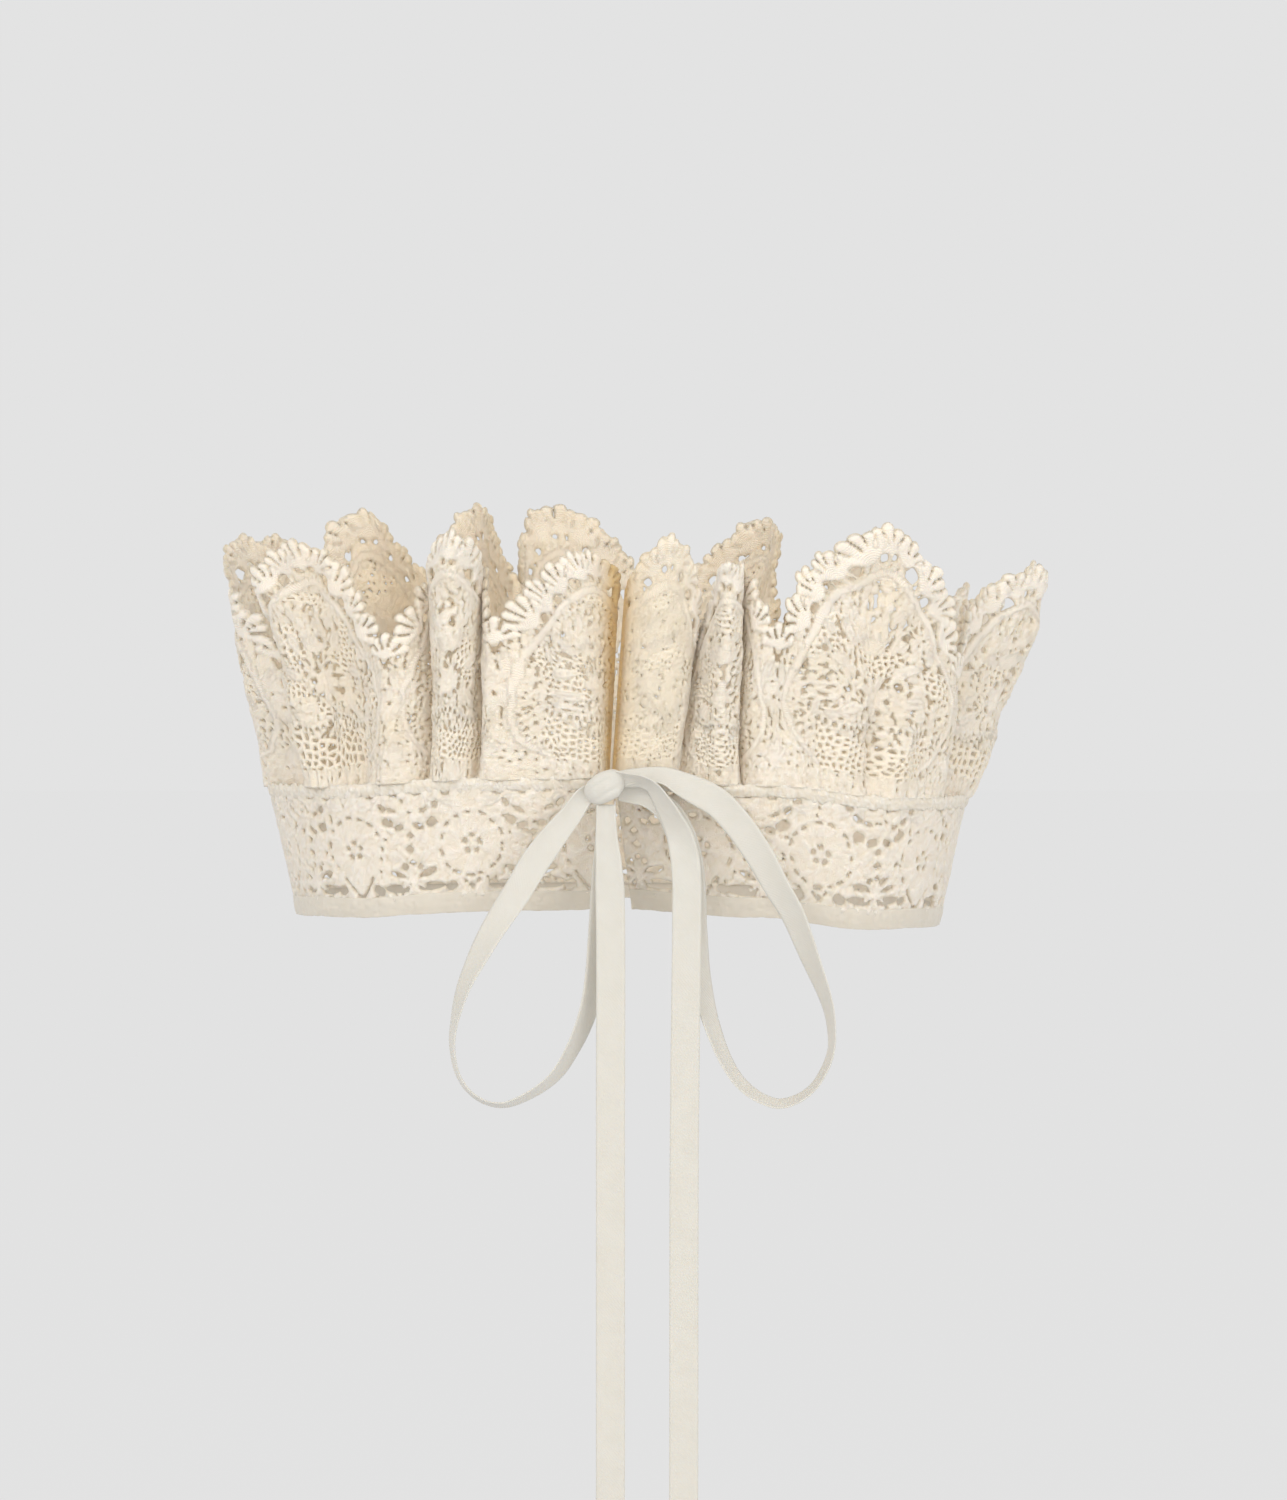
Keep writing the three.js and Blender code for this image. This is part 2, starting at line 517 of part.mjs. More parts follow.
/** A point of the ruffle at a length along its edge and a share of its full height. */
function onRuffle(length, rise) {
  const fold = interpolate(edge.lengths, edge.folds, length) / foldCount;
  const foot = seamCurve.getPoint(fold);
  const head = edgeCurve.getPoint(fold);
  const angle = THREE.MathUtils.radToDeg(Math.atan2(-head.x, -head.y));
  const ring = onRing(EDGE_RING, angle);
  const opened = rise ** FOLD_OPENING - rise;
  const x = foot.x + (head.x - foot.x) * rise + (head.x - ring.x) * opened;
  const y = foot.y + (head.y - foot.y) * rise + (head.y - ring.y) * opened;
  const base = hemLift(foot.z) + BAND_HEIGHT + SEAM_GAP;
  return new THREE.Vector3(x, y, base + head.z * rise);
}

/** The ruffle's lace between two lengths, with gaps between the bars under its edge. */
function laceRuffle(start, end) {
  const count = Math.round((end - start) / RUFFLE_COLUMN);
  const lengths = Array.from({ length: count + 1 }, (_, i) => THREE.MathUtils.lerp(start, end, i / count));
  const grid = lengths.map((length) => {
    const top = scallopHeight(length);
    return RUFFLE_ROWS.map((share) => onRuffle(length, share * top));
  });
  const everyOther = Math.round(SCALLOP_LENGTH / RUFFLE_COLUMN / GAPS_PER_SCALLOP);
  const isGap = (i, j) => j === GAP_ROW && i > 0 && i < count - 1 && i % everyOther === 1;
  return clothWall(grid, -LACE_WALL / 2, LACE_WALL / 2, isGap);
}

function buildRuffle() {
  const group = new THREE.Group();
  const backRow = FOLDS.findIndex(({ seam }) => seam === 180);
  const back = interpolate(edge.folds, edge.lengths, backRow);
  group.add(piece("ruffle_left", laceRuffle(0, back - SEAM_GAP / 2), COTTON));
  group.add(piece("ruffle_right", laceRuffle(back + SEAM_GAP / 2, edge.total), COTTON));
  return group;
}

// ---- Ribbon -------------------------------------------------------------------------------------

/** A flat tape along a row of points, turned by their rolls, with square ends. */
function tape(route, steps) {
  const middle = new THREE.CatmullRomCurve3(route.map(({ x, y, z }) => new THREE.Vector3(x, y, z)));
  const front = new THREE.Vector3(0, -1, 0);
  const grid = [];
  for (let i = 0; i <= steps; i += 1) {
    const place = (i / steps) * (route.length - 1);
    const row = Math.min(route.length - 2, Math.floor(place));
    const roll = radians(THREE.MathUtils.lerp(route[row].roll, route[row + 1].roll, place - row));
    const point = middle.getPoint(i / steps);
    const tangent = middle.getTangent(i / steps);
    const sideways = new THREE.Vector3().crossVectors(front, tangent).normalize();
    const across = sideways.multiplyScalar(Math.cos(roll)).addScaledVector(front, Math.sin(roll));
    const half = across.multiplyScalar(RIBBON.width / 2);
    grid.push([point.clone().sub(half), point.clone().add(half)]);
  }
  return clothWall(grid, -RIBBON.thickness / 2, RIBBON.thickness / 2);
}

/** The short stretch that crosses the front opening behind the knot. */
function tieStretch() {
  const grid = [];
  for (let i = 0; i <= TIE.steps; i += 1) {
    const x = THREE.MathUtils.lerp(TIE.from, TIE.to, i / TIE.steps);
    grid.push([new THREE.Vector3(x, TIE.y, TIE.low), new THREE.Vector3(x, TIE.y, TIE.high)]);
  }
  return clothWall(grid, -TIE.thickness / 2, TIE.thickness / 2);
}

function knot() {
  const ball = new THREE.SphereGeometry(1, KNOT_SEGMENTS.around, KNOT_SEGMENTS.upwards);
  ball.scale(KNOT.halfWidth, KNOT.halfDepth, KNOT.halfHeight);
  ball.translate(KNOT.x, KNOT.y, KNOT.z);
  return ball;
}

function buildBow() {
  const group = new THREE.Group();
  group.add(piece("ribbon_tie", tieStretch(), RIBBON_CLOTH));
  group.add(piece("ribbon_knot", knot(), RIBBON_CLOTH));
  group.add(piece("ribbon_loop_left", tape(LEFT_LOOP, LOOP_STEPS), RIBBON_CLOTH));
  group.add(piece("ribbon_loop_right", tape(RIGHT_LOOP, LOOP_STEPS), RIBBON_CLOTH));
  group.add(piece("ribbon_tail_left", tape(LEFT_TAIL, TAIL_STEPS), RIBBON_CLOTH));
  group.add(piece("ribbon_tail_right", tape(RIGHT_TAIL, TAIL_STEPS), RIBBON_CLOTH));
  return group;
}

// ---- Assembly -----------------------------------------------------------------------------------

const collar = new THREE.Group();
collar.add(buildBand());
collar.add(buildRuffle());
collar.add(buildBow());

export default collar;
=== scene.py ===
"""A standing neck collar of cotton guipure lace, tied in front with a narrow ribbon.

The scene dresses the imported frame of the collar: the scalloped ruffle and the medallion band are
worked as threads, leaves and flowers in relief on the cloth's own curved surface, and the hem tape,
the gathered seam and the ribbon bow are modelled round the frame's solids. Sizes are millimetres
until a mesh is written, and the wearer faces -Y.
"""
from __future__ import annotations

import logging
import math
from dataclasses import dataclass, field
from enum import Enum
from typing import Callable, Iterable, Sequence

import bpy
import numpy as np
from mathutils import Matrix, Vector

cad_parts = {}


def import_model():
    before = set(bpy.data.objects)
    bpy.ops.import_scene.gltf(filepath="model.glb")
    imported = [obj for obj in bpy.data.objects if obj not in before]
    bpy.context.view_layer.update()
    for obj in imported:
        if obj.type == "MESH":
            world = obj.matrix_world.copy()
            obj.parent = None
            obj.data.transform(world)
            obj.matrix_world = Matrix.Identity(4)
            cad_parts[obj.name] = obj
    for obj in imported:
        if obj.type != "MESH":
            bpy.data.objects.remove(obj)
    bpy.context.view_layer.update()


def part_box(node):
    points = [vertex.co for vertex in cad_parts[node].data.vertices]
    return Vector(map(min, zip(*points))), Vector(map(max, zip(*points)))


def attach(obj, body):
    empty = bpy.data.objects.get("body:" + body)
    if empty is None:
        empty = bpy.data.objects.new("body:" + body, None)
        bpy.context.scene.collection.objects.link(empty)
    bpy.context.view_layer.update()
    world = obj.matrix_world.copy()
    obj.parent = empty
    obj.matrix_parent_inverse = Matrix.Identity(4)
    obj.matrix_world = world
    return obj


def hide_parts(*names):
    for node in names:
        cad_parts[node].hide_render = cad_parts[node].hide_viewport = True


log = logging.getLogger("lace_collar")

MM = 0.001
BODY = "root"
TINY = 1e-9
Array = np.ndarray
Point = tuple[float, float]
Surface = Callable[[Array, Array], Array]
Random = np.random.Generator
Piece = bpy.types.Object
Material = bpy.types.Material
Socket = bpy.types.NodeSocket

# ---- Sizes of the cut, the neck and the folds --------------------


@dataclass(frozen=True)
class Ring:
    """A rounded plan of the neck: half its width and half its depth."""

    half_width: float
    half_depth: float


HEM_RING = Ring(68.0, 54.0)
SEAM_RING = Ring(74.0, 60.0)
EDGE_RING = Ring(84.0, 70.0)
BACK_SQUARENESS = 2.5
FRONT_SQUARENESS = 3.4
HEM_ENDS = (4.4, 356.6)
SEAM_ENDS = (2.1, 360.4)

TAPE_HEIGHT = 3.9
BAND_HEIGHT = 27.0
SEAM_GAP = 0.3
REPEATS = 16
FIRST_MEDALLION = 1.4
LAST_MEDALLION = 15.6

# Height of the hem at each angle round the neck.
HEM_LIFT = (
    (0, 3.8), (27, 3.3), (54, 1.3), (90, 0.0), (180, 0.0), (270, -2.2), (310, -1.1), (332, 2.0), (360, 3.8),
)

# The ruffle's crests, valleys and sides from the left front end by the back to the right front end.
# The columns are the seam's angle, how far the foot is pinched out or in, the edge's x and y, its
# height over the seam, and 1 where a scallop has its top.
FOLDS = (
    (2.1, -2, 0.4, -60.6, 46, 0), (3.6, 0.6, -5.2, -67, 47, 1), (9, 0.8, -11.5, -70.5, 50, 0),
    (15.5, 0.2, -18.5, -69, 53, 0), (24.5, 0.8, -24.8, -67, 55, 0), (26.8, -1.8, -27.9, -60.2, 55, 0),
    (28.6, 0.4, -29.2, -66, 53, 0), (31, 0.9, -33.8, -70, 52, 1), (33.2, 0.4, -38, -65, 52, 0),
    (35, -1.8, -39.3, -59.2, 52, 0), (37, 0.6, -43.8, -63, 52, 0), (40.5, 1.2, -49.5, -63.5, 52, 0),
    (45, -0.6, -58.5, -55.5, 52, 0), (49, 0, -66.5, -49.5, 52, 1), (53.5, 2, -77, -41, 52, 0),
    (60, -2.6, -76.5, -31, 53, 0), (78, 0.6, -84.5, -17, 54, 0), (91, 0, -80, -3, 54, 1),
    (99, -1.8, -71.5, 7, 54, 0), (107, 0.8, -83, 18, 54, 0), (116, 0, -76.5, 30, 54, 1),
    (122, -1.8, -60.5, 34, 56, 0), (129, 0.8, -67, 47.5, 58, 0), (136, 0.4, -57.5, 53, 59, 1),
    (142, -2, -45.5, 43.5, 59, 0), (147, 0.8, -41.5, 61.5, 60, 0), (153, 0.2, -31.5, 61, 61, 1),
    (158.5, -2.2, -25.5, 46, 61, 0), (163, 0.8, -22, 63.5, 61, 0), (170, 0.4, -13, 66.5, 61, 1),
    (180, 0, 10.5, 66, 60, 0), (192, 0.6, 26, 65, 59, 0), (199, 0.4, 35, 61.5, 58, 1),
    (206, -2.2, 39.5, 44, 56, 0), (212, 0.8, 48, 59.5, 56, 0), (219, 0.2, 56.5, 52, 55, 1),
    (226, -2, 55.5, 37, 50, 0), (234, 0.8, 71.5, 47, 46, 0), (241, 0.2, 77, 36.5, 44, 1),
    (249, -2, 66.5, 26, 45, 0), (258, 0.8, 84, 18, 46, 1), (268, -1.8, 75, 4, 48, 0),
    (281, 0.2, 91.5, -13, 50, 0), (286, 0.2, 88, -20.5, 50, 1), (297, -1.6, 75, -35.5, 50, 0),
    (301, 0.8, 75.5, -45, 52, 0), (307, 0.4, 66.5, -55, 55, 0), (316, 0.6, 54, -61.5, 57, 1),
    (325, 0.4, 42, -67, 57, 0), (334.2, 0.8, 29.2, -66.5, 56, 0), (336, -1.6, 26.2, -60.8, 52, 0),
    (337.6, 0.4, 25.4, -66, 48, 0), (341, 0.8, 23, -70.5, 47, 1), (344.5, 0.4, 21.4, -65.4, 47, 0),
    (347.3, -1.6, 19.2, -60.2, 48, 0), (349, 0.4, 18.3, -65.6, 50, 0), (354, 0.8, 11.6, -69.5, 50, 1),
    (359.2, 0.6, 4.2, -66.8, 48, 0), (360.4, -2, 2.8, -61.4, 47, 0),
)
SCALLOP_LENGTH = 48.0
SCALLOP_HEIGHT = 58.0
SCALLOP_DEPTH = 0.39
SCALLOP_POINT = 1.75
SCALLOP_ROUNDING = 0.01
FOLD_OPENING = 0.5


@dataclass(frozen=True)
class Crease:
    """A soft bulge, or a hollow, in a broad panel of the ruffle."""

    seam_angle: float
    height: float
    out: float
    half_length: float
    half_height: float


CREASES = (
    Crease(39.6, 9.0, 1.6, 2.4, 9.0), Crease(17.5, 16.0, 1.1, 2.6, 10.0),
    Crease(12.2, 22.0, -0.9, 2.0, 12.0), Crease(49.5, 14.0, -1.2, 2.6, 9.0),
    Crease(310.4, 10.0, 1.9, 2.6, 9.0), Crease(315.3, 11.0, -2.2, 2.5, 9.5),
    Crease(320.0, 10.0, 1.1, 2.8, 9.0), Crease(329.5, 18.0, -1.0, 2.6, 12.0),
    Crease(171.0, 14.0, 1.4, 4.0, 12.0), Crease(186.0, 16.0, -1.6, 4.0, 12.0),
    Crease(276.0, 14.0, 1.6, 3.5, 11.0), Crease(84.0, 16.0, -1.4, 3.5, 12.0),
)

RIBBON_WIDTH = 6.0

# Each stretch of ribbon: x, y and z of its middle, and its roll, 0 with its flat side to the front.
LEFT_LOOP = (
    (-5.2, -65.9, 28.4, 0), (-6.8, -66, 27.4, 0), (-9.2, -66.1, 24, 2), (-11.7, -66.2, 20.9, 4),
    (-14.1, -66.4, 17.8, 6), (-17.2, -66.6, 13.4, 10), (-20, -66.9, 8.6, 18), (-23.5, -67.2, 3.2, 28),
    (-26.2, -67.4, -1.2, 38), (-29, -67.7, -6.5, 50), (-31.6, -67.9, -12.4, 64),
    (-33.2, -68, -18.4, 76), (-33.7, -68, -24.2, 80), (-32.6, -67.9, -29.6, 80),
    (-30.2, -67.8, -33.2, 80), (-26.9, -67.6, -35.3, 78), (-23.2, -67.2, -35.8, 76),
    (-18.6, -66.4, -34.2, 72), (-14.6, -65.6, -31.6, 68), (-11.6, -64.8, -28.6, 64),
    (-9.2, -64, -24.6, 60), (-7.2, -63.5, -20.2, 55), (-5.7, -63.2, -15.8, 50), (-4.4, -63.1, -9.6, 42),
    (-3.3, -63.2, -1.6, 26), (-2.5, -63.6, 7, 10), (-2.2, -64.2, 15, 2), (-2.2, -64.6, 21, 0),
    (-2.3, -64.7, 25.8, 0),
)
RIGHT_LOOP = (
    (0.8, -65.2, 30.8, -30), (2.2, -65.3, 31.2, -40), (4.6, -65.2, 31.6, -48), (7.4, -65.1, 31.8, -50),
    (10.3, -65.1, 31.4, -44), (13.4, -65.2, 30, -28), (17.1, -65.4, 28.3, -12), (20.6, -65.7, 26.3, 0),
    (24.2, -66, 22.7, 6), (28.9, -66.5, 16.2, 16), (32.6, -66.9, 9.6, 26), (36.6, -67.3, 2.6, 38),
    (39.6, -67.6, -5, 50), (42.4, -67.8, -12, 62), (44.1, -68, -18.5, 74), (44.2, -68, -24.5, 80),
    (42.7, -67.9, -29, 80), (40.3, -67.8, -32.4, 80), (37, -67.6, -34.8, 78),
    (33.3, -67.3, -35.8, 76), (28.9, -66.6, -34.3, 74), (25.4, -65.8, -31.6, 70),
    (22.8, -65, -27.8, 66), (20.6, -64.2, -23, 62), (18.7, -63.4, -17, 56), (17.1, -62.8, -9.6, 46),
    (15.9, -62.6, 0, 28), (15.3, -62.9, 9, 10), (14.6, -63.3, 14.8, 0), (12.9, -63.7, 20.2, 0),
    (10.2, -64, 24.8, 0), (6.4, -64.2, 27.4, 0), (2.6, -64.2, 28.2, 0), (0.6, -64.4, 28.6, 0),
)
LEFT_TAIL = (
    (-2.2, -67.1, 25.9, 0), (-2.1, -67.1, 20, 0), (-1.6, -67, 13, 0), (-1.3, -66.9, 4, 0),
    (-1.3, -66.8, -44, 0), (-1.3, -66.6, -100, 0), (-1.4, -66.4, -160, 0),
)
RIGHT_TAIL = (
    (-1, -67.2, 31.4, 24), (2.2, -67.4, 31.2, 44), (4.8, -67.6, 31, 56), (7.4, -67.6, 29.6, 58),
    (9.7, -67.5, 26.2, 48), (11.5, -67.4, 22.8, 40), (13, -67.3, 19.4, 24), (14, -67.2, 15, 6),
    (14.4, -67.1, 10, 0), (14.4, -67, 3.2, 0), (13.9, -66.9, -44, 0), (13.8, -66.7, -100, 0),
    (13.7, -66.5, -166, 0),
)

# ---- Curves and rings --------------------------------------------


def on_ring(ring: Ring, degrees: Array) -> Array:
    """Finds points of a ring.

    Args:
        ring: the ring's size.
        degrees: angles from the front, growing by the wearer's right side and the back.

    Returns:
        The points' x and y in the last axis.
    """
    angle = np.radians(degrees)
    across, along = np.sin(angle), np.cos(angle)
    front_share = (1 + along) / 2
    power = BACK_SQUARENESS + (FRONT_SQUARENESS - BACK_SQUARENESS) * front_share
    total = (np.abs(across) / ring.half_width) ** power + (np.abs(along) / ring.half_depth) ** power
    radius = total ** (-1 / power)
    return np.stack([-radius * across, -radius * along], axis=-1)


def hem_lift(degrees: Array) -> Array:
    """Height of the hem at angles in degrees, eased from row to row of its table."""
    table = np.array(HEM_LIFT, dtype=float)
    turn = np.clip(degrees, 0.0, 360.0)
    row = np.clip(np.searchsorted(table[:, 0], turn), 1, len(table) - 1)
    before, after = table[row - 1], table[row]
    share = (turn - before[..., 0]) / (after[..., 0] - before[..., 0])
    return before[..., 1] + (after[..., 1] - before[..., 1]) * ease(share)


def unit(vectors: Array) -> Array:
    """The vectors at length 1."""
    return vectors / np.maximum(np.linalg.norm(vectors, axis=-1, keepdims=True), TINY)


def ease(share: Array) -> Array:
    """A share from 0 to 1 with a gentle start and end."""
    return share * share * (3 - 2 * share)


def bell(distance: Array, width: float) -> Array:
    """A smooth hump, 1 at a distance of 0 and nearly 0 past twice the width."""
    return np.exp(-((distance / width) ** 2))


def lengths_along(points: Array) -> Array:
    """The length from the first point of a row to each of its points."""
    return np.concatenate([[0.0], np.cumsum(np.linalg.norm(np.diff(points, axis=0), axis=1))])


def polar(centre: Point, radius: float, angle: float) -> Point:
    """The point at a distance and a heading from a centre."""
    return centre[0] + radius * math.cos(angle), centre[1] + radius * math.sin(angle)


def pick(rng: Random, low: float, high: float) -> float:
    """A random number between two limits."""
    return float(rng.uniform(low, high))


def uneven(rng: Random, amount: float) -> float:
    """A random number between minus and plus an amount."""
    return pick(rng, -amount, amount)


@dataclass
class SmoothCurve:
    """A centripetal Catmull-Rom curve through a row of points."""

    points: Array

    def __post_init__(self) -> None:
        """Works out each stretch's four neighbours and the times between them."""
        inner = np.asarray(self.points, dtype=float)
        first = 2 * inner[0] - inner[1]
        last = 2 * inner[-1] - inner[-2]
        self.padded = np.vstack([first, inner, last])
        steps = np.sum(np.diff(self.padded, axis=0) ** 2, axis=1) ** 0.25
        self.times = np.maximum(steps, 1e-4)

    def at(self, place: Array) -> Array:
        """Points of the curve.

        Args:
            place: places counted in rows, 0 at the first point.

        Returns:
            The points, one for each place.
        """
        row = np.clip(np.floor(place).astype(int), 0, len(self.points) - 2)
        share = (place - row)[..., None]
        p0, p1, p2, p3 = (self.padded[row + k] for k in range(4))
        t0, t1, t2 = (self.times[row + k][..., None] for k in range(3))
        slope1 = ((p1 - p0) / t0 - (p2 - p0) / (t0 + t1) + (p2 - p1) / t1) * t1
        slope2 = ((p2 - p1) / t1 - (p3 - p1) / (t1 + t2) + (p3 - p2) / t2) * t1
        square = -3 * p1 + 3 * p2 - 2 * slope1 - slope2
        cube = 2 * p1 - 2 * p2 + slope1 + slope2
        return p1 + slope1 * share + square * share**2 + cube * share**3

    def heading(self, place: Array, step: float) -> Array:
        """Directions of the curve at places, measured over a small step each way."""
        last = len(self.points) - 1
        return unit(self.at(np.minimum(place + step, last)) - self.at(np.maximum(place - step, 0)))


def soft_noise(x: Array, y: Array, size: float, seed: int) -> Array:
    """A smooth uneven field made of a few crossing waves.

    Args:
        x: places along the cloth.
        y: places up the cloth.
        size: rough distance from one swell to the next.
        seed: which field of the family.

    Returns:
        Values between about -1 and 1.
    """
    rng = np.random.default_rng(seed)
    total = np.zeros(np.broadcast(x, y).shape)
    waves = 7
    for _ in range(waves):
        heading = rng.uniform(0, math.tau)
        pitch = size * rng.uniform(0.7, 1.6)
        phase = rng.uniform(0, math.tau)
        total += np.sin(math.tau * (x * math.cos(heading) + y * math.sin(heading)) / pitch + phase)
    return total / math.sqrt(waves * 2.0)


# ---- The two cloth surfaces --------------------------------------


@dataclass
class BandSurface:
    """The band's surface, from its hem to the gathering seam."""

    steps: int = 720
    ridge: float = 1.3
    turn_in: float = 3.2
    slack: float = 0.35
    end_fade: float = 0.6

    def __post_init__(self) -> None:
        """Divides the hem and the seam into equal lengths."""
        self.hem_table = self._arc(HEM_RING, HEM_ENDS)
        self.seam_table = self._arc(SEAM_RING, SEAM_ENDS)
        self.length = (self.hem_table[1][-1] + self.seam_table[1][-1]) / 2
        self.repeat = (self.length - FIRST_MEDALLION - LAST_MEDALLION) / REPEATS
        self.middle = FIRST_MEDALLION + REPEATS / 2 * self.repeat

    def _arc(self, ring: Ring, ends: Point) -> tuple[Array, Array]:
        """Angles along a ring's arc and the length up to each."""
        angles = np.linspace(ends[0], ends[1], self.steps + 1)
        return angles, lengths_along(on_ring(ring, angles))

    def _angle(self, table: tuple[Array, Array], share: Array) -> Array:
        """The angle at a share of an arc's length."""
        angles, lengths = table
        return np.interp(share * lengths[-1], lengths, angles)

    def _end_offset(self, share: Array) -> Array:
        """The soft ridge at the left front end, and the turn inward at the right one."""
        from_left = share * self.length
        from_right = (1 - share) * self.length
        return self.ridge * bell(from_left - 4.5, 2.6) - self.turn_in * bell(from_right, 7.0)

    def at(self, place: Array, height: Array, out: Array | float = 0.0) -> Array:
        """Points of the band.

        Args:
            place: lengths along the band from its left front end.
            height: heights above the hem.
            out: how far the points stand out from the surface.

        Returns:
            The points' x, y and z in millimetres.
        """
        share = place / self.length
        hem_angle = self._angle(self.hem_table, share)
        seam_angle = self._angle(self.seam_table, share)
        rise = height / BAND_HEIGHT
        plan = on_ring(HEM_RING, hem_angle)
        plan = plan + (on_ring(SEAM_RING, seam_angle) - plan) * rise[..., None]
        slack = self.slack * soft_noise(place, height * 0.6, 46.0, 5) * np.sin(math.pi * np.clip(rise, 0, 1))
        from_ring = out + slack + self._end_offset(share) * (1 - self.end_fade * rise)
        plan = plan + unit(plan) * from_ring[..., None]
        angle = hem_angle + (seam_angle - hem_angle) * rise
        return np.concatenate([plan, (hem_lift(angle) + height)[..., None]], axis=-1)


@dataclass
class RuffleSurface:
    """The folded surface of the ruffle, by the length along its edge and the height on the cloth."""

    steps_per_fold: int = 24
    gather: float = 0.36
    gather_pitch: float = 5.1
    gather_height: float = 4.5
    valley_depth: float = 13.5

    def __post_init__(self) -> None:
        """Measures the edge and finds the scallops' tops."""
        folds = np.array(FOLDS, dtype=float)
        seam, pinch, x, y, height, top = folds.T
        self.edge = SmoothCurve(np.stack([x, y, height], axis=1))
        foot = on_ring(SEAM_RING, seam)
        foot = foot + unit(foot) * pinch[:, None]
        self.foot = SmoothCurve(np.column_stack([foot, seam]))
        last = len(folds) - 1
        self.rows = np.linspace(0, last, last * self.steps_per_fold + 1)
        self.lengths = lengths_along(self.edge.at(self.rows)[:, :2])
        self.total = float(self.lengths[-1])
        self.tops = np.interp(np.flatnonzero(top), self.rows, self.lengths)
        crease_rows = [float(np.interp(c.seam_angle, seam, np.arange(len(seam)))) for c in CREASES]
        self.crease_lengths = [self.length_at(row) for row in crease_rows]
        self.back = self.length_at(int(np.flatnonzero(seam == 180.0)[0]))

    def length_at(self, row: float) -> float:
        """The length along the edge at a row of the fold table."""
        return float(np.interp(row, self.rows, self.lengths))

    @staticmethod
    def _even_edge(head: Array) -> Array:
        """Where points of the edge would stand on a ring without folds, seen from the middle."""
        return on_ring(EDGE_RING, np.degrees(np.arctan2(-head[..., 0], -head[..., 1])))

    def pattern_place(self, length: Array) -> Array:
        """Places on the flat pattern, where the scallops' tops lie evenly apart."""
        tops = self.tops
        even = (np.arange(len(tops)) + 0.5) * SCALLOP_LENGTH
        place = np.interp(length, tops, even)
        place = np.where(length < tops[0], even[0] - (tops[0] - length), place)
        return np.where(length > tops[-1], even[-1] + (length - tops[-1]), place)

    def at(self, length: Array, height: Array) -> Array:
        """Points of the ruffle.

        Args:
            length: lengths along the edge from the left front end.
            height: heights on the flat cloth, the full scallop being SCALLOP_HEIGHT.

        Returns:
            The points' x, y and z in millimetres.
        """
        row = np.interp(length, self.lengths, self.rows)
        foot, head = self.foot.at(row), self.edge.at(row)
        rise = np.clip(height / SCALLOP_HEIGHT, 0.0, 1.2)
        opened = (rise**FOLD_OPENING - rise)[..., None]
        plan = foot[..., :2] + (head[..., :2] - foot[..., :2]) * rise[..., None]
        plan = plan + (head[..., :2] - self._even_edge(head)) * opened
        phase = math.tau * length / self.gather_pitch + 2.2 * soft_noise(length, height, 17.0, 3)
        gathers = self.gather * np.exp(-height / self.gather_height) * np.sin(phase)
        swell = 0.9 * soft_noise(length, height * 0.7, 21.0, 9) * np.clip(height / 20.0, 0, 1)
        curl = 1.5 * soft_noise(length, height, 11.0, 11) * np.clip(height / SCALLOP_HEIGHT - 0.45, 0, 1)
        ripple = 0.28 * soft_noise(length, height, 7.0, 13) * np.clip(height / 8.0, 0, 1)
        out = gathers + swell + curl + ripple
        for crease, middle in zip(CREASES, self.crease_lengths):
            aside = (length - middle) / crease.half_length
            above = (height - crease.height) / crease.half_height
            out = out + crease.out * np.exp(-(aside**2 + above**2))
        plan = plan + unit(plan) * out[..., None]
        base = hem_lift(foot[..., 2]) + BAND_HEIGHT + SEAM_GAP
        return np.concatenate([plan, (base + head[..., 2] * rise)[..., None]], axis=-1)

    def depth(self, length: Array) -> Array:
        """How deep in a fold the edge lies: 0 on a crest, 1 at the bottom of a valley."""
        head = self.edge.at(np.interp(length, self.lengths, self.rows))
        inward = np.linalg.norm(self._even_edge(head), axis=-1) - np.linalg.norm(head[..., :2], axis=-1)
        return np.clip(inward / self.valley_depth, 0.0, 1.0)


# ---- Lace worked on flat cloth -----------------------------------


class Ground(Enum):
    """The nets that fill the lace between its motifs: spacing of the holes and thread half width."""

    FINE = (1.6, 0.46)
    OPEN = (2.3, 0.56)


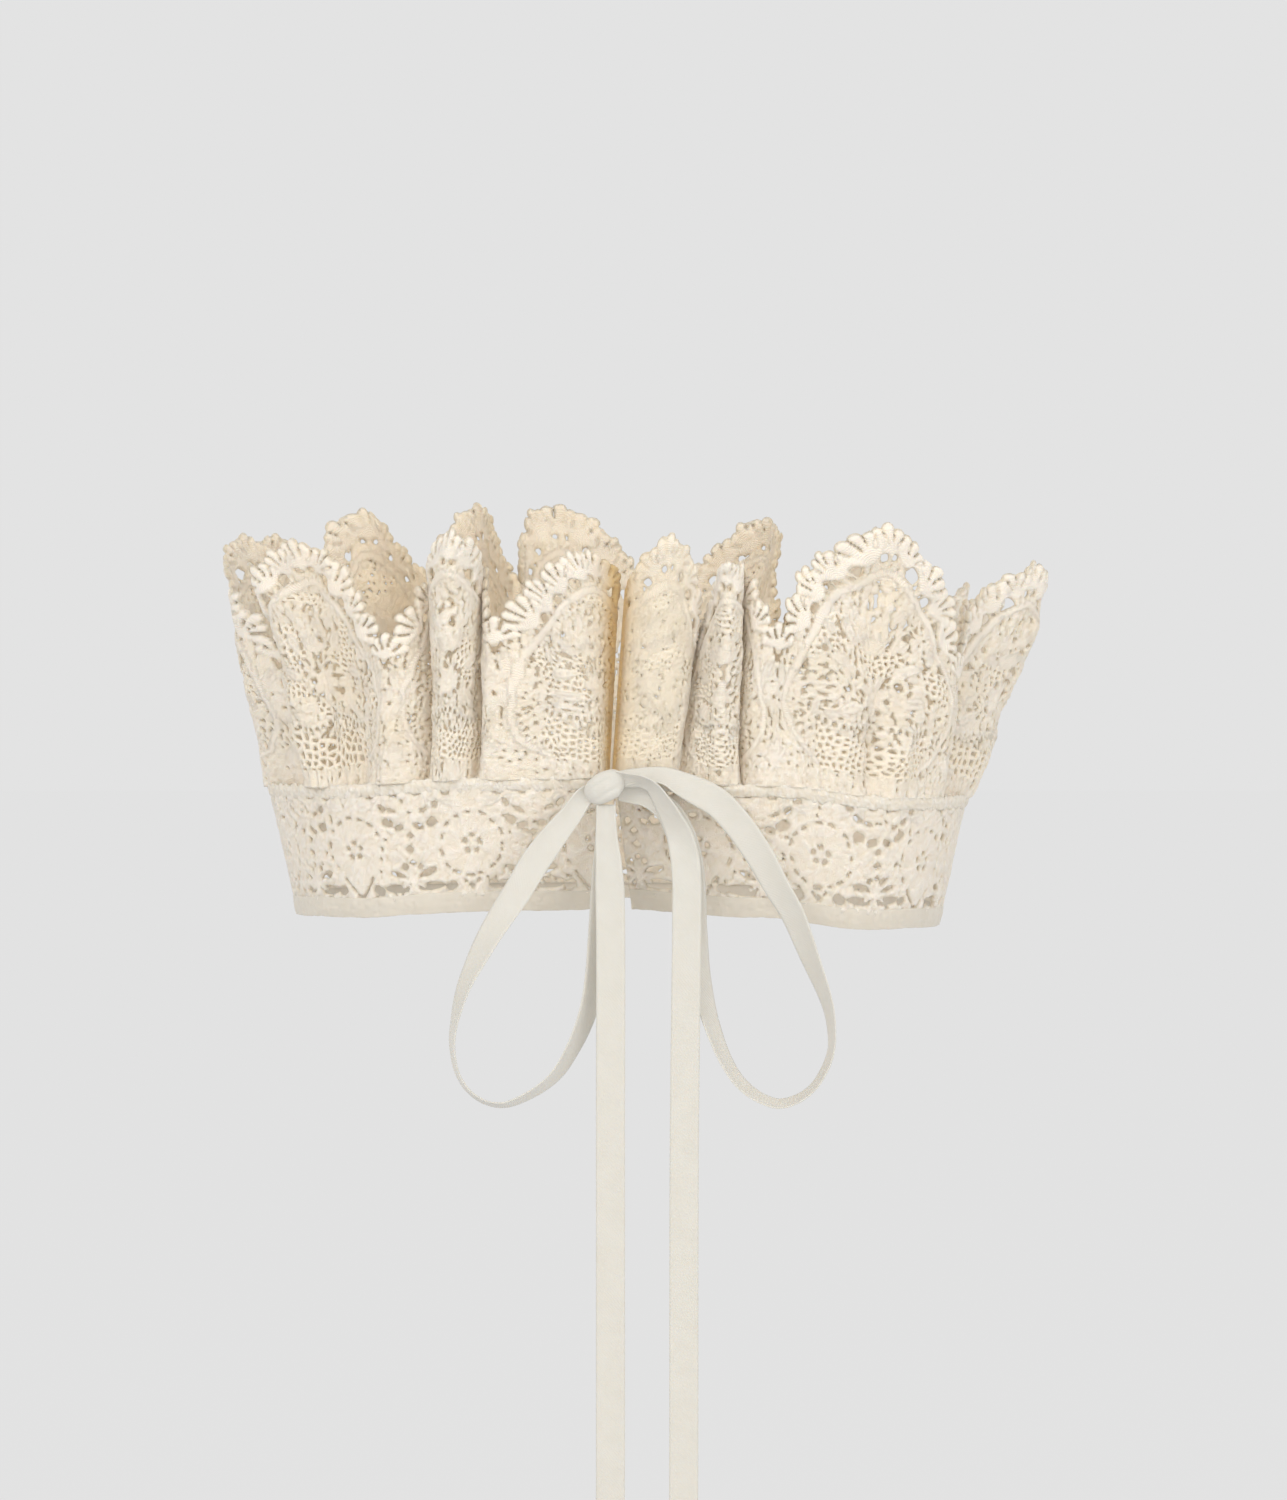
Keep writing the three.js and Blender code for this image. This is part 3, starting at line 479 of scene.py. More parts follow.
class LaceField:
    """Threads and their relief on a grid of flat cloth points, in millimetres.

    inside is above 0 in a thread and below 0 in a hole, height is how far the thread stands up, and
    stitch counts the satin stitches that cross it. hole_share makes all holes smaller.
    """

    BARE = -9.0
    RIM = 0.45

    def __init__(self, x: Array, y: Array) -> None:
        """Starts bare cloth.

        Args:
            x: places along the cloth.
            y: heights on the cloth.
        """
        self.x, self.y = x, y
        self.inside = np.full(x.shape, self.BARE)
        self.height = np.zeros(x.shape)
        self.stitch = np.zeros(x.shape)
        self.hole_share = 1.0

    @staticmethod
    def round_off(depth: Array, reach: Array | float) -> Array:
        """The rounded profile of a thread: 0 at its rim and 1 from reach inwards."""
        share = np.clip(depth / reach, 0.0, 1.0)
        return np.sqrt(share * (2 - share))

    def _near(self, points: Sequence[Point], reach: float) -> Array:
        """The grid points within reach of the box round some points."""
        xs, ys = [p[0] for p in points], [p[1] for p in points]
        return ((self.x > min(xs) - reach) & (self.x < max(xs) + reach)
                & (self.y > min(ys) - reach) & (self.y < max(ys) + reach))

    def _from_line(self, near: Array, start: Point, end: Point) -> tuple[Array, Array, float]:
        """Distances of points to a line, the shares of it they lie beside, and its length."""
        x, y = self.x[near], self.y[near]
        dx, dy = end[0] - start[0], end[1] - start[1]
        square = dx * dx + dy * dy + TINY
        share = np.clip(((x - start[0]) * dx + (y - start[1]) * dy) / square, 0, 1)
        distance = np.hypot(x - start[0] - share * dx, y - start[1] - share * dy)
        return distance, share, math.sqrt(square)

    def _lay(self, near: Array, inside: Array, height: Array, stitch: Array) -> None:
        """Lays one piece of work over the points that are near it."""
        old_height = self.height[near]
        over = (height > old_height) & (inside > 0)
        self.inside[near] = np.maximum(self.inside[near], inside)
        self.height[near] = np.where(over, height, old_height)
        self.stitch[near] = np.where(over, stitch, self.stitch[near])

    def thread(self, start: Point, end: Point, radius: float, end_radius: float | None = None,
               height: float = 0.4, offset: float = 0.0) -> None:
        """A round thread, or a petal where its end is wider than its start.

        Args:
            start: where it starts.
            end: where it ends.
            radius: half its width at the start.
            end_radius: half its width at the end, the same if left out.
            height: how far its middle stands up.
            offset: length that lies before it, for its stitches.
        """
        end_radius = radius if end_radius is None else end_radius
        near = self._near((start, end), max(radius, end_radius) + 1.0)
        if not near.any():
            return
        distance, share, length = self._from_line(near, start, end)
        width = radius + (end_radius - radius) * share
        inside = width - distance
        self._lay(near, inside, height * self.round_off(inside, width), offset + share * length)

    def dot(self, centre: Point, radius: float, height: float) -> None:
        """A round knob of thread."""
        self.thread(centre, centre, radius, None, height)

    def flower(self, centre: Point, turn: float, petals: int, root: float, length: float,
               width: float, height: float) -> None:
        """Grooved petals round a point.

        Args:
            centre: the flower's middle.
            turn: the first petal's heading in radians.
            petals: how many there are.
            root: how far from the middle they start.
            length: a petal's length.
            width: half a petal's width.
            height: how far they stand up.
        """
        for k in range(petals):
            a = turn + math.tau * k / petals
            self.leaf(polar(centre, root, a), a, length, width, height, 0.3)

    def path(self, points: Sequence[Point], radius: float, height: float, taper: float = 0.0) -> None:
        """A cord along a smooth row of points.

        Args:
            points: the points it runs through.
            radius: half its width.
            height: how far its middle stands up.
            taper: how much narrower it is at its two ends, as a share.
        """
        curve = SmoothCurve(np.array([(px, py, 0.0) for px, py in points]))
        places = np.linspace(0, len(points) - 1, (len(points) - 1) * 6 + 1)
        line = curve.at(places)[:, :2]
        width = radius * (1 - taper * np.abs(np.linspace(-1, 1, len(line))) ** 3)
        offset = 0.0
        for here, after, w0, w1 in zip(line[:-1], line[1:], width[:-1], width[1:]):
            self.thread(tuple(here), tuple(after), float(w0), float(w1), height, offset)
            offset += float(np.hypot(*(after - here)))

    def leaf(self, root: Point, angle: float, length: float, width: float, height: float,
             vein: float) -> None:
        """A pointed leaf with a groove along its middle.

        Args:
            root: where its stem is.
            angle: its heading in radians.
            length: its length.
            width: half its width.
            height: how far it stands up.
            vein: how deep its groove is, as a share of the height.
        """
        near = self._near((root,), length + 1.0)
        if not near.any():
            return
        x, y = self.x[near] - root[0], self.y[near] - root[1]
        along = (x * math.cos(angle) + y * math.sin(angle)) / length
        aside = -x * math.sin(angle) + y * math.cos(angle)
        profile = width * np.sqrt(np.clip(4 * along * (1 - along), 0, None))
        tip_x, tip_y = length * math.cos(angle), length * math.sin(angle)
        beyond = -np.minimum(np.hypot(x, y), np.hypot(x - tip_x, y - tip_y))
        on_leaf = (along > 0) & (along < 1)
        inside = np.where(on_leaf, np.minimum(profile - np.abs(aside), width), beyond)
        up = height * self.round_off(inside, 0.5 * width)
        up = up - vein * height * bell(aside, 0.34) * on_leaf
        self._lay(near, inside, up, along * length + 0.5 * np.abs(aside))

    def fan(self, root: Point, heading: float, size: float, turn: float = 0.0,
            height: float = 0.58) -> None:
        """Five round petals that spread from one root, with a narrow slit between each two.

        Args:
            root: where they start.
            heading: where the middle one points, in radians.
            size: the middle one's length.
            turn: how far the fan leans to one side.
            height: how far the petals stand up.
        """
        petals = ((-0.96, 0.84), (-0.46, 0.94), (0.0, 1.0), (0.46, 0.94), (0.96, 0.84))
        gaps = ((-0.7, 0.5, 0.84), (-0.22, 0.42, 0.9), (0.22, 0.5, 0.94), (0.7, 0.44, 0.84))
        for lean, share in petals:
            a = heading + lean + turn
            self.thread(polar(root, 0.4, a), polar(root, size * share - 1.25, a), 0.42, 1.27, height)
        self.thread(root, polar(root, 0.26 * size, heading), 1.0, 0.26 * size, 0.14)
        for lean, first, last in gaps:
            a = heading + lean + turn
            self.slit(polar(root, first * size, a), polar(root, last * size, a), 0.17)

    def hole(self, centre: Point, half_width: float, half_height: float | None = None,
             angle: float = 0.0, squareness: float = 2.0) -> None:
        """A hole with a rounded rim.

        Args:
            centre: its middle.
            half_width: half its length.
            half_height: half its width, the same if left out.
            angle: its heading in radians.
            squareness: 2 for an oval, more for a squarer hole.
        """
        half_height = self.hole_share * (half_width if half_height is None else half_height)
        half_width = self.hole_share * half_width
        near = self._near((centre,), max(half_width, half_height) + 1.0)
        if not near.any():
            return
        x, y = self.x[near] - centre[0], self.y[near] - centre[1]
        a = (x * math.cos(angle) + y * math.sin(angle)) / half_width
        b = (-x * math.sin(angle) + y * math.cos(angle)) / half_height
        round_a, round_b = np.abs(a) ** squareness, np.abs(b) ** squareness
        self._cut(near, ((round_a + round_b) ** (1 / squareness) - 1) * min(half_width, half_height))

    def slit(self, start: Point, end: Point, half_width: float) -> None:
        """A long narrow hole from one point to another."""
        near = self._near((start, end), half_width + 1.0)
        if near.any():
            self._cut(near, self._from_line(near, start, end)[0] - half_width)

    def diamond(self, centre: Point, half_width: float, half_height: float) -> None:
        """A four-cornered hole that stands on its point."""
        half_width, half_height = self.hole_share * half_width, self.hole_share * half_height
        near = self._near((centre,), max(half_width, half_height) + 1.0)
        if not near.any():
            return
        a = np.abs(self.x[near] - centre[0]) / half_width
        b = np.abs(self.y[near] - centre[1]) / half_height
        self._cut(near, (a + b - 1) * min(half_width, half_height) * 0.8)

    def _cut(self, near: Array, distance: Array) -> None:
        """Cuts a hole where the distance is below 0, and rounds its rim."""
        self.inside[near] = np.minimum(self.inside[near], distance)
        rim = self.round_off(distance, self.RIM)
        self.height[near] = self.height[near] * np.where(distance < self.RIM, rim, 1.0)

    @staticmethod
    def _wobble(column: Array, row: Array, seed: float) -> Array:
        """An uneven number from -1 to 1 for each place of a lattice."""
        return np.modf(np.sin(column * 12.9898 + row * 78.233 + seed * 3.7) * 43758.5453)[0]

    def _three_nearest(self, x: Array, y: Array, pitch: float, seed: int, jitter: float,
                       metric: Callable[[Array, Array, Array, Array], Array]) -> tuple[Array, Array, Array]:
        """Finds the three nearest seeds of an uneven lattice.

        Args:
            x: the points' places.
            y: the points' heights.
            pitch: distance between seeds.
            seed: which uneven lattice.
            jitter: how far a seed lies from its even place, as a share of the pitch.
            metric: gives the distances from points to seeds.

        Returns:
            The distances, the seeds' places and marks, and a mark of the nearest from -1 to 1.
        """
        row_pitch = pitch * math.sqrt(3) / 2
        row0 = np.round(y / row_pitch)
        nearest = np.full((3,) + x.shape, 99.0)
        places = np.zeros((3, 3) + x.shape)
        for row_step in (-2, -1, 0, 1, 2):
            row = row0 + row_step
            shift = np.where(np.mod(row, 2) == 1, 0.5, 0.0) * pitch
            column0 = np.round((x - shift) / pitch)
            for column_step in (-2, -1, 0, 1, 2):
                column = column0 + column_step
                mark = self._wobble(column, row, seed + 5)
                seed_x = column * pitch + shift + jitter * pitch * self._wobble(column, row, seed)
                seed_y = row * row_pitch + jitter * pitch * self._wobble(row, column, seed + 1)
                distance = metric(x, y, seed_x, seed_y)
                here = np.stack([seed_x, seed_y, mark])
                for rank in range(3):
                    closer = distance < nearest[rank]
                    distance, nearest[rank] = (np.where(closer, nearest[rank], distance),
                                               np.where(closer, distance, nearest[rank]))
                    here, places[rank] = (np.where(closer, places[rank], here),
                                          np.where(closer, here, places[rank]))
        return nearest, places, places[0][2]

    def ground(self, kind: Ground, where: Array, height: float = 0.36, seed: int = 1) -> None:
        """Fills part of the cloth with an uneven net.

        Args:
            kind: which net.
            where: the points it fills.
            height: how far its threads stand up.
            seed: which uneven net of its kind.
        """
        pitch, half_thread = kind.value
        x, y = self.x[where], self.y[where]
        nearest, places, _ = self._three_nearest(
            x, y, pitch, seed, 0.3, lambda px, py, sx, sy: np.hypot(px - sx, py - sy))
        apart = np.hypot(*(places[1] - places[0])[:2]) + 1e-6
        to_thread = (nearest[1] ** 2 - nearest[0] ** 2) / (2 * apart)
        knots = np.clip(nearest[0] - 0.46 * pitch, 0, None)
        inside = half_thread - to_thread + 0.5 * knots
        self._lay(where, inside, height * self.round_off(inside, half_thread), to_thread)

    def leafage(self, where: Array, heading: Callable[[Array, Array], Array], pitch: float = 2.0,
                stretch: float = 1.7, gap: float = 0.34, height: float = 0.4, groove: float = 0.6,
                seed: int = 1, openness: float = 0.0) -> None:
        """Fills part of the cloth with small leaves side by side, and leaves holes where they meet.

        Args:
            where: the points it fills.
            heading: the leaves' direction at a place, in radians.
            pitch: distance between leaves.
            stretch: how much longer than wide a leaf is.
            gap: size of the holes at the corners between leaves, none below 0.
            height: how far the leaves stand up.
            groove: how deep the grooves between them are, as a share of the height.
            seed: which uneven filling of its kind.
            openness: how much the holes' size differs from place to place.
        """
        x, y = self.x[where], self.y[where]
        wide, long = 1 / math.sqrt(stretch), math.sqrt(stretch)

        def to_seed(px: Array, py: Array, seed_x: Array, seed_y: Array) -> Array:
            """Distance measured along and across the leaf of a seed."""
            angle = heading(seed_x, seed_y)
            dx, dy = px - seed_x, py - seed_y
            along = (dx * np.cos(angle) + dy * np.sin(angle)) / long
            aside = (-dx * np.sin(angle) + dy * np.cos(angle)) / wide
            return np.sqrt(along * along + aside * aside)

        nearest, _, mark = self._three_nearest(x, y, pitch, seed, 0.36, to_seed)
        side = 0.5 * (nearest[1] - nearest[0])
        corner = 0.5 * (nearest[2] - nearest[0])
        uneven = 0.18 * soft_noise(x, y, 2.9, seed + 70) + 0.10 * soft_noise(x, y, 9.0, seed + 71)
        inside = corner - gap - openness * soft_noise(x, y, 12.0, seed + 72) - uneven
        up = height * (0.85 + 0.25 * mark) * (1 - groove + groove * self.round_off(side, 0.55))
        self._lay(where, inside, up * self.round_off(inside, 0.3), nearest[0] * 1.6)


def work_repeats(whole: LaceField, numbers: Array, from_middle: Array,
                 work: Callable[[LaceField, int], None]) -> None:
    """Works a pattern over a cloth, repeat by repeat.

    Args:
        whole: the cloth's field.
        numbers: the number of the repeat that each point lies in.
        from_middle: how far along from its repeat's middle each point lies.
        work: works one repeat, given its own points and its number.
    """
    for number in np.unique(numbers):
        chosen = numbers == number
        part = LaceField(from_middle[chosen], whole.y[chosen])
        work(part, int(number))
        whole.inside[chosen], whole.height[chosen] = part.inside, part.height
        whole.stitch[chosen] = part.stitch


def drift(x: Array, y: Array, swells: Sequence[tuple[float, float, int]]) -> Array:
    """The sum of some uneven fields, each given by its strength, the size of its swells and its seed."""
    return sum(amount * soft_noise(x, y, size, seed) for amount, size, seed in swells)


# ---- The ruffle's scallops ---------------------------------------


def scallop_edge(x: Array) -> Array:
    """Height of the scalloped edge over a tile's place, 0 under the top and 24 at a notch."""
    distance = np.abs(x) / (SCALLOP_LENGTH / 2)
    top_drop = SCALLOP_ROUNDING ** (SCALLOP_POINT / 2)
    drop = (distance**2 + SCALLOP_ROUNDING) ** (SCALLOP_POINT / 2) - top_drop
    return SCALLOP_HEIGHT * (1 - SCALLOP_DEPTH * drop)


@dataclass
class ScallopPattern:
    """One repeat of the ruffle's lace: edge fans, arch cord, flowers, leaves and nets.

    Attributes:
        fans: how many fans stand along the edge.
        leg: the arch cord's left leg, from its foot to below its top.
        foot_height: height of the leaves under the arch cord's feet.
        notch_flower: height of the flower between two repeats.
        back_repeats: the first and the last of the repeats behind the neck.
        back_holes: size of the holes there, whose mesh is coarser, as a share.
        closed_from: height over which the lace is a little closer.
    """

    fans: int = 9
    fan_size: float = 6.8
    leg: Sequence[Point] = (
        (-12.6, 5.6), (-16.8, 8.0), (-19.8, 12.4), (-20.6, 18.4), (-19.0, 25.6), (-15.6, 32.6),
        (-10.6, 39.6), (-5.2, 45.0),
    )
    arch_top: float = 47.8
    foot_height: float = 4.4
    notch_flower: float = 18.6
    back_repeats: tuple[int, int] = (4, 11)
    back_holes: float = 0.72
    closed_from: float = 34.0
    half: float = SCALLOP_LENGTH / 2
    seed: int = 100

    def __post_init__(self) -> None:
        """Measures the scalloped edge of one repeat, and mirrors the arch's leg."""
        self.arch = [*self.leg, (0.0, self.arch_top), *((-x, y) for x, y in self.leg[::-1])]
        self.edge_x = np.linspace(-self.half, self.half, 961)
        self.edge_y = scallop_edge(self.edge_x)
        steps = np.hypot(np.diff(self.edge_x), np.diff(self.edge_y))
        self.edge_lengths = np.concatenate([[0.0], np.cumsum(steps)])

    def _on_edge(self, share: float, inset: float) -> tuple[float, float, float]:
        """A point inside the edge, at a share of its length, and the heading out of the cloth."""
        total = self.edge_lengths[-1]
        lengths = np.clip(np.array([share * total - 0.9, share * total, share * total + 0.9]), 0, total)
        xs = np.interp(lengths, self.edge_lengths, self.edge_x)
        ys = np.interp(lengths, self.edge_lengths, self.edge_y)
        heading = math.atan2(xs[2] - xs[0], -(ys[2] - ys[0]))
        return xs[1] - inset * math.cos(heading), ys[1] - inset * math.sin(heading), heading

    def work(self, lace: LaceField, tile: int) -> None:
        """Works one repeat.

        Args:
            lace: the field of the tile's points, x from -24 to 24.
            tile: number of the repeat, which settles its small irregularities.
        """
        rng = np.random.default_rng(self.seed + tile)
        lace.hole_share = self.back_holes if self.back_repeats[0] <= tile <= self.back_repeats[1] else 1.0
        self._grounds(lace, tile)
        self._notches(lace, tile)
        self._inside_arch(lace, rng)
        self._edge(lace, rng)
        wander = rng.uniform(-0.35, 0.35, (len(self.arch), 2))
        cord = [(x + dx, y + dy) for (x, y), (dx, dy) in zip(self.arch, wander)]
        lace.path(cord, 1.12, 0.42, taper=0.3)
        self._holes(lace, rng)
        lace.inside += 0.12 * np.clip((lace.y - self.closed_from) / 6.0, 0, 1)

    def _grounds(self, lace: LaceField, tile: int) -> None:
        """The close leaf work of the whole scallop, and the nets inside the arch."""
        left = np.array(self.arch[:len(self.leg) + 1])
        reach = np.interp(lace.y, left[:, 1], -left[:, 0], left=14.0, right=0.0)
        across = np.abs(lace.x)
        low = (lace.y < 13.0 + 2.2 * soft_noise(lace.x, lace.y, 14.0, 78)) & (lace.y > self.foot_height)
        low &= across < 13.5 + np.minimum(soft_noise(lace.x, lace.y, 4.0, 79), 0.0)
        in_arch = (across < reach) & (lace.y < self.arch_top)
        netted = in_arch & (lace.y > 17.0) & (soft_noise(lace.x, lace.y, 15.0, 90 + tile) > 0.3)

        def outward(x: Array, y: Array) -> Array:
            """Leaves that spread from the flower's middle."""
            return np.arctan2(y - 23.0, x + 1e-6) + 0.9 * soft_noise(x, y, 7.0, 81)

        def upward(x: Array, y: Array) -> Array:
            """Leaves that stand beside the arch's legs."""
            return math.pi / 2 - 0.03 * x + 0.7 * soft_noise(x, y, 7.0, 83)

        edge = scallop_edge(across)
        slope = (scallop_edge(across + 0.05) - scallop_edge(across - 0.05)) / 0.1
        inset = (edge - lace.y) / np.sqrt(1 + slope**2)
        flank = ~in_arch & (inset > 4.9)
        lace.ground(Ground.OPEN if tile % 5 == 2 else Ground.FINE, in_arch & low, 0.32, 4)
        lace.ground(Ground.FINE, netted & ~low, 0.32, 7)
        lace.leafage(in_arch & ~low & ~netted, outward, 1.75, 1.6, 0.15, seed=12, openness=0.1)
        lace.leafage(flank, upward, 1.75, 1.7, 0.12, seed=15, openness=0.08)
        lace.leafage(lace.y < self.foot_height, upward, 1.6, 1.7, 0.12, 0.4, 0.7, seed=18)

    def _notches(self, lace: LaceField, tile: int) -> None:
        """The flower, the leaves and the fan on each side, shared by two neighbouring repeats."""
        for side in (-1, 1):
            x = side * self.half
            turn = uneven(np.random.default_rng(3 * self.seed + tile + (side + 1) // 2), 0.4)
            lace.flower((x, self.notch_flower), math.pi / 2 + turn, 6, 0.7, 3.2, 0.95, 0.42)
            lace.dot((x, self.notch_flower), 1.0, 0.44)
            for lean in (-0.9, -0.4, 0.1, 0.6):
                lace.leaf((x + 0.4 * lean, 5.4), math.pi / 2 + lean, 5.0 - 0.8 * abs(lean), 1.05, 0.4, 0.35)
            lace.leaf((side * 21.4, 21.6), math.pi / 2 - side * 0.2, 5.4, 1.2, 0.4, 0.4)
            lace.fan((x, 29.0), math.pi / 2, 6.2)

    def _inside_arch(self, lace: LaceField, rng: Random) -> None:
        """The flower and the low leaves inside the arch."""
        rows = (
            (4.6, 31.4, 0.9, 5.4, 1.35), (6.4, 26.0, 0.2, 5.8, 1.45), (5.6, 20.6, -0.4, 5.6, 1.4),
            (12.4, 28.6, 1.2, 4.4, 1.1), (13.6, 20.4, -1.2, 4.6, 1.1), (3.0, 36.6, 1.2, 3.8, 1.0),
            (10.4, 34.0, 0.6, 3.8, 1.0), (8.6, 16.6, 0.1, 4.2, 1.0),
        )
        for side in (-1, 1):
            for x, y, angle, length, width in rows:
                heading = (angle if side > 0 else math.pi - angle) + uneven(rng, 0.3)
                root = (side * x + uneven(rng, 0.8), y + uneven(rng, 0.8))
                lace.leaf(root, heading, length * (1 + uneven(rng, 0.15)), width, 0.4, 0.35)
        for lean, length in ((-0.6, 4.4), (-0.2, 5.2), (0.2, 5.2), (0.6, 4.4)):
            root = (1.2 * math.sin(-lean), 30.6)
            lace.leaf(root, math.pi / 2 + lean + uneven(rng, 0.1), length, 0.98, 0.42, 0.3)
        middle = (uneven(rng, 0.8), 23.4 + uneven(rng, 0.8))
        turn = uneven(rng, 0.4)
        petals = 7
        lace.flower(middle, turn, petals, 0.9, 3.5, 1.1, 0.42)
        lace.dot(middle, 1.15, 0.42)
        for k in range(petals):
            a = turn + math.tau * (k + 0.5) / petals
            lace.hole(polar(middle, 3.5, a), 0.5, 0.42, a, 3.0)
        rail = ((14.2, 16.4), (10.0, 14.2), (5.0, 15.2))
        lace.path([*((-x, y) for x, y in rail), (0.0, 16.2), *rail[::-1]], 1.1, 0.36)

    def _edge(self, lace: LaceField, rng: Random) -> None:
        """The fans along the edge, and the row of squarish holes between them and the arch."""
        for k in range(self.fans):
            x, y, heading = self._on_edge((k + 0.5) / self.fans, self.fan_size)
            size = self.fan_size * pick(rng, 0.92, 1.04)
            for side in (-1, 1) if abs(k - 4) > 1 else ():
                share = (k + 0.5 + side * pick(rng, 0.14, 0.2)) / self.fans
                hx, hy, away = self._on_edge(share, 7.6 + uneven(rng, 0.3))
                half = pick(rng, 0.5, 0.85)
                lace.hole((hx, hy), half, half * 0.85, away + 0.4 * side, 3.0)
            lace.fan((x, y), heading, size, uneven(rng, 0.1))
        for k in range(1, self.fans):
            x, y, heading = self._on_edge(k / self.fans, 7.0)
            half = pick(rng, 0.95, 1.35) * (0.7 if k in (4, 5) else 1.0)
            lace.hole((x, y), half * 1.1, half, heading, 3.2)
            lace.dot(self._on_edge(k / self.fans, 4.1)[:2], 1.2, 0.4)

    def _holes(self, lace: LaceField, rng: Random) -> None:
        """The rows of small holes along the rail, and a few larger ones."""
        for side in (-1, 1):
            lace.hole((side * self.half, self.notch_flower), 0.45)
        for k in range(-8, 9):
            x = 1.6 * k + uneven(rng, 0.12)
            y = 15.2 + 0.95 * math.cos(x * 0.36) - 0.25
            lace.hole((x, y), 0.3, 0.46, uneven(rng, 0.3))
        for _ in range(9):
            x, y = uneven(rng, 14), pick(rng, 18, 40)
            if abs(x) < 17 - 0.3 * (y - 18):
                lace.hole((x, y), pick(rng, 0.5, 0.85), pick(rng, 0.45, 0.7), pick(rng, 0, 3), 3.0)


# ---- The band's medallions ---------------------------------------


@dataclass
class MedallionPattern:
    """One repeat of the band: a medallion, with half the star and lotus between medallions each side.

    Attributes:
        slit_ring: radius of the ring of slits.
        star: the middle of the star between medallions.
        back_repeats: the first and the last of the repeats behind the neck.
        back_holes: size of the holes there, as a share.
    """

    centre_height: float = 14.2
    slit_ring: float = 6.6
    slits: int = 15
    star: Point = (0.0, 7.1)
    back_repeats: tuple[int, int] = (3, 13)
    back_holes: float = 0.6
    seed: int = 900
    star_seed: int = 700

    def work(self, lace: LaceField, repeat: float, tile: int) -> None:
        """Works one repeat.

        Args:
            lace: the field of the repeat's points, x from minus half the repeat to half of it.
            repeat: the repeat's length.
            tile: its number, which settles its small irregularities.
        """
        rng = np.random.default_rng(self.seed + tile)
        lace.hole_share = self.back_holes if self.back_repeats[0] <= tile <= self.back_repeats[1] else 1.0

        def aslant(x: Array, y: Array) -> Array:
            """Leaves that lean away from the medallion."""
            return np.arctan2(y - self.centre_height, x + 1e-6) + 0.7 + 0.6 * soft_noise(x, y, 7.0, 85)

        everywhere = np.ones(lace.x.shape, dtype=bool)
        lace.leafage(everywhere, aslant, 1.9, 1.8, -0.02, 0.46, 0.75, 30 + tile % 3)
        self._leaves(lace, rng)
        self._medallion(lace, rng)
        for side in (-1, 1):
            shifted = LaceField(lace.x - side * repeat / 2, lace.y)
            shifted.inside, shifted.height, shifted.stitch = lace.inside, lace.height, lace.stitch
            shifted.hole_share = lace.hole_share
            self._between(shifted, np.random.default_rng(self.star_seed + tile + (side + 1) // 2))
        self._slits(lace, rng, pointed=tile % 2 == 0)

    def _leaves(self, lace: LaceField, rng: Random) -> None:
        """The leaves and stems round the medallion."""
        rows = (
            (5.6, 21.2, 0.85, 4.6, 1.25), (1.6, 22.6, 0.35, 4.6, 1.1), (8.0, 18.4, 0.5, 3.8, 1.0),
            (8.3, 10.0, -0.2, 3.4, 0.95), (9.0, 14.6, 0.9, 3.0, 0.85), (9.0, 13.6, -0.9, 3.0, 0.85),
            (5.4, 7.4, -0.45, 3.4, 0.8),
        )
        for side in (-1, 1):
            for x, y, angle, length, width in rows:
                heading = (angle if side > 0 else math.pi - angle) + uneven(rng, 0.12)
                lace.leaf((side * x, y), heading, length, width, 0.54, 0.5)
            lace.path([(side * 0.7, 6.6), (side * 3.4, 5.0), (side * 6.4, 4.6)], 0.45, 0.42)
        lace.thread((0, 7.0), (0, 4.6), 0.9, 0.6, 0.45)

    def _medallion(self, lace: LaceField, rng: Random) -> None:
        """The flat round of close petals, and the flower's middle."""
        y, radius = self.centre_height, self.slit_ring + 0.9
        distance = np.hypot(lace.x, lace.y - y)
        disc = distance < radius

        def spread(px: Array, py: Array) -> Array:
            """Petals that spread from the middle with a slight turn."""
            return np.arctan2(py - y, px + 1e-6) + 0.35

        lace.height = np.where(disc, 0.0, lace.height)
        lace.leafage(disc, spread, 2.2, 2.6, -0.5, 0.46, 0.55, 40 + int(rng.integers(9)))
        lace.height = np.maximum(lace.height, 0.42 * bell(distance - radius, 0.5))
        petals = 5
        for k in range(petals):
            a = math.tau * (k + 0.5) / petals + math.pi / 2
            lace.thread(polar((0.0, y), 1.0, a), polar((0.0, y), 2.3, a), 0.4, 0.5, 0.5)

    def _slits(self, lace: LaceField, rng: Random, pointed: bool) -> None:
        """The ring of slits, with a point or a stem below it, and the holes of the flower's middle."""
        y, ring = self.centre_height, self.slit_ring
        centre = (0.0, y)
        for k in range(self.slits):
            a = math.tau * (k + 0.5 + uneven(rng, 0.2)) / self.slits
            half = float(rng.choice([0.14, 0.17, 0.21, 0.4], p=[0.35, 0.3, 0.2, 0.15]))
            reach = 0.05 + pick(rng, 0.0, 0.06) - 0.05 * half
            radius = ring + uneven(rng, 0.2)
            if pointed and math.sin(a) < -0.74:
                continue
            lace.slit(polar(centre, radius, a - reach), polar(centre, radius, a + reach), half)
        foot = 3.6 if pointed else y - ring - 2.6
        for side in (-1, 1):
            for share in (0.3, 0.62, 0.92) if pointed else (0.45, 0.9):
                top = (side * (0.66 if pointed else 0.35) * ring, y - (0.75 if pointed else 1.02) * ring)
                x, z = top[0] * (1 - share), top[1] + (foot - top[1]) * share
                step = (0.5 * side, 0.62) if pointed else (0.3 * side, 0.3)
                lace.slit((x + step[0], z + step[1]), (x - step[0], z - step[1]), 0.16)
        lace.slit((0.0, foot + 0.9), (0.0, foot), 0.22)
        holes = 5
        for k in range(holes):
            a = math.pi / 2 + math.tau * k / holes
            half = pick(rng, 0.44, 0.62)
            lace.hole(polar(centre, 1.65, a), half, 0.8 * half, a + math.pi / 2, 2.6)

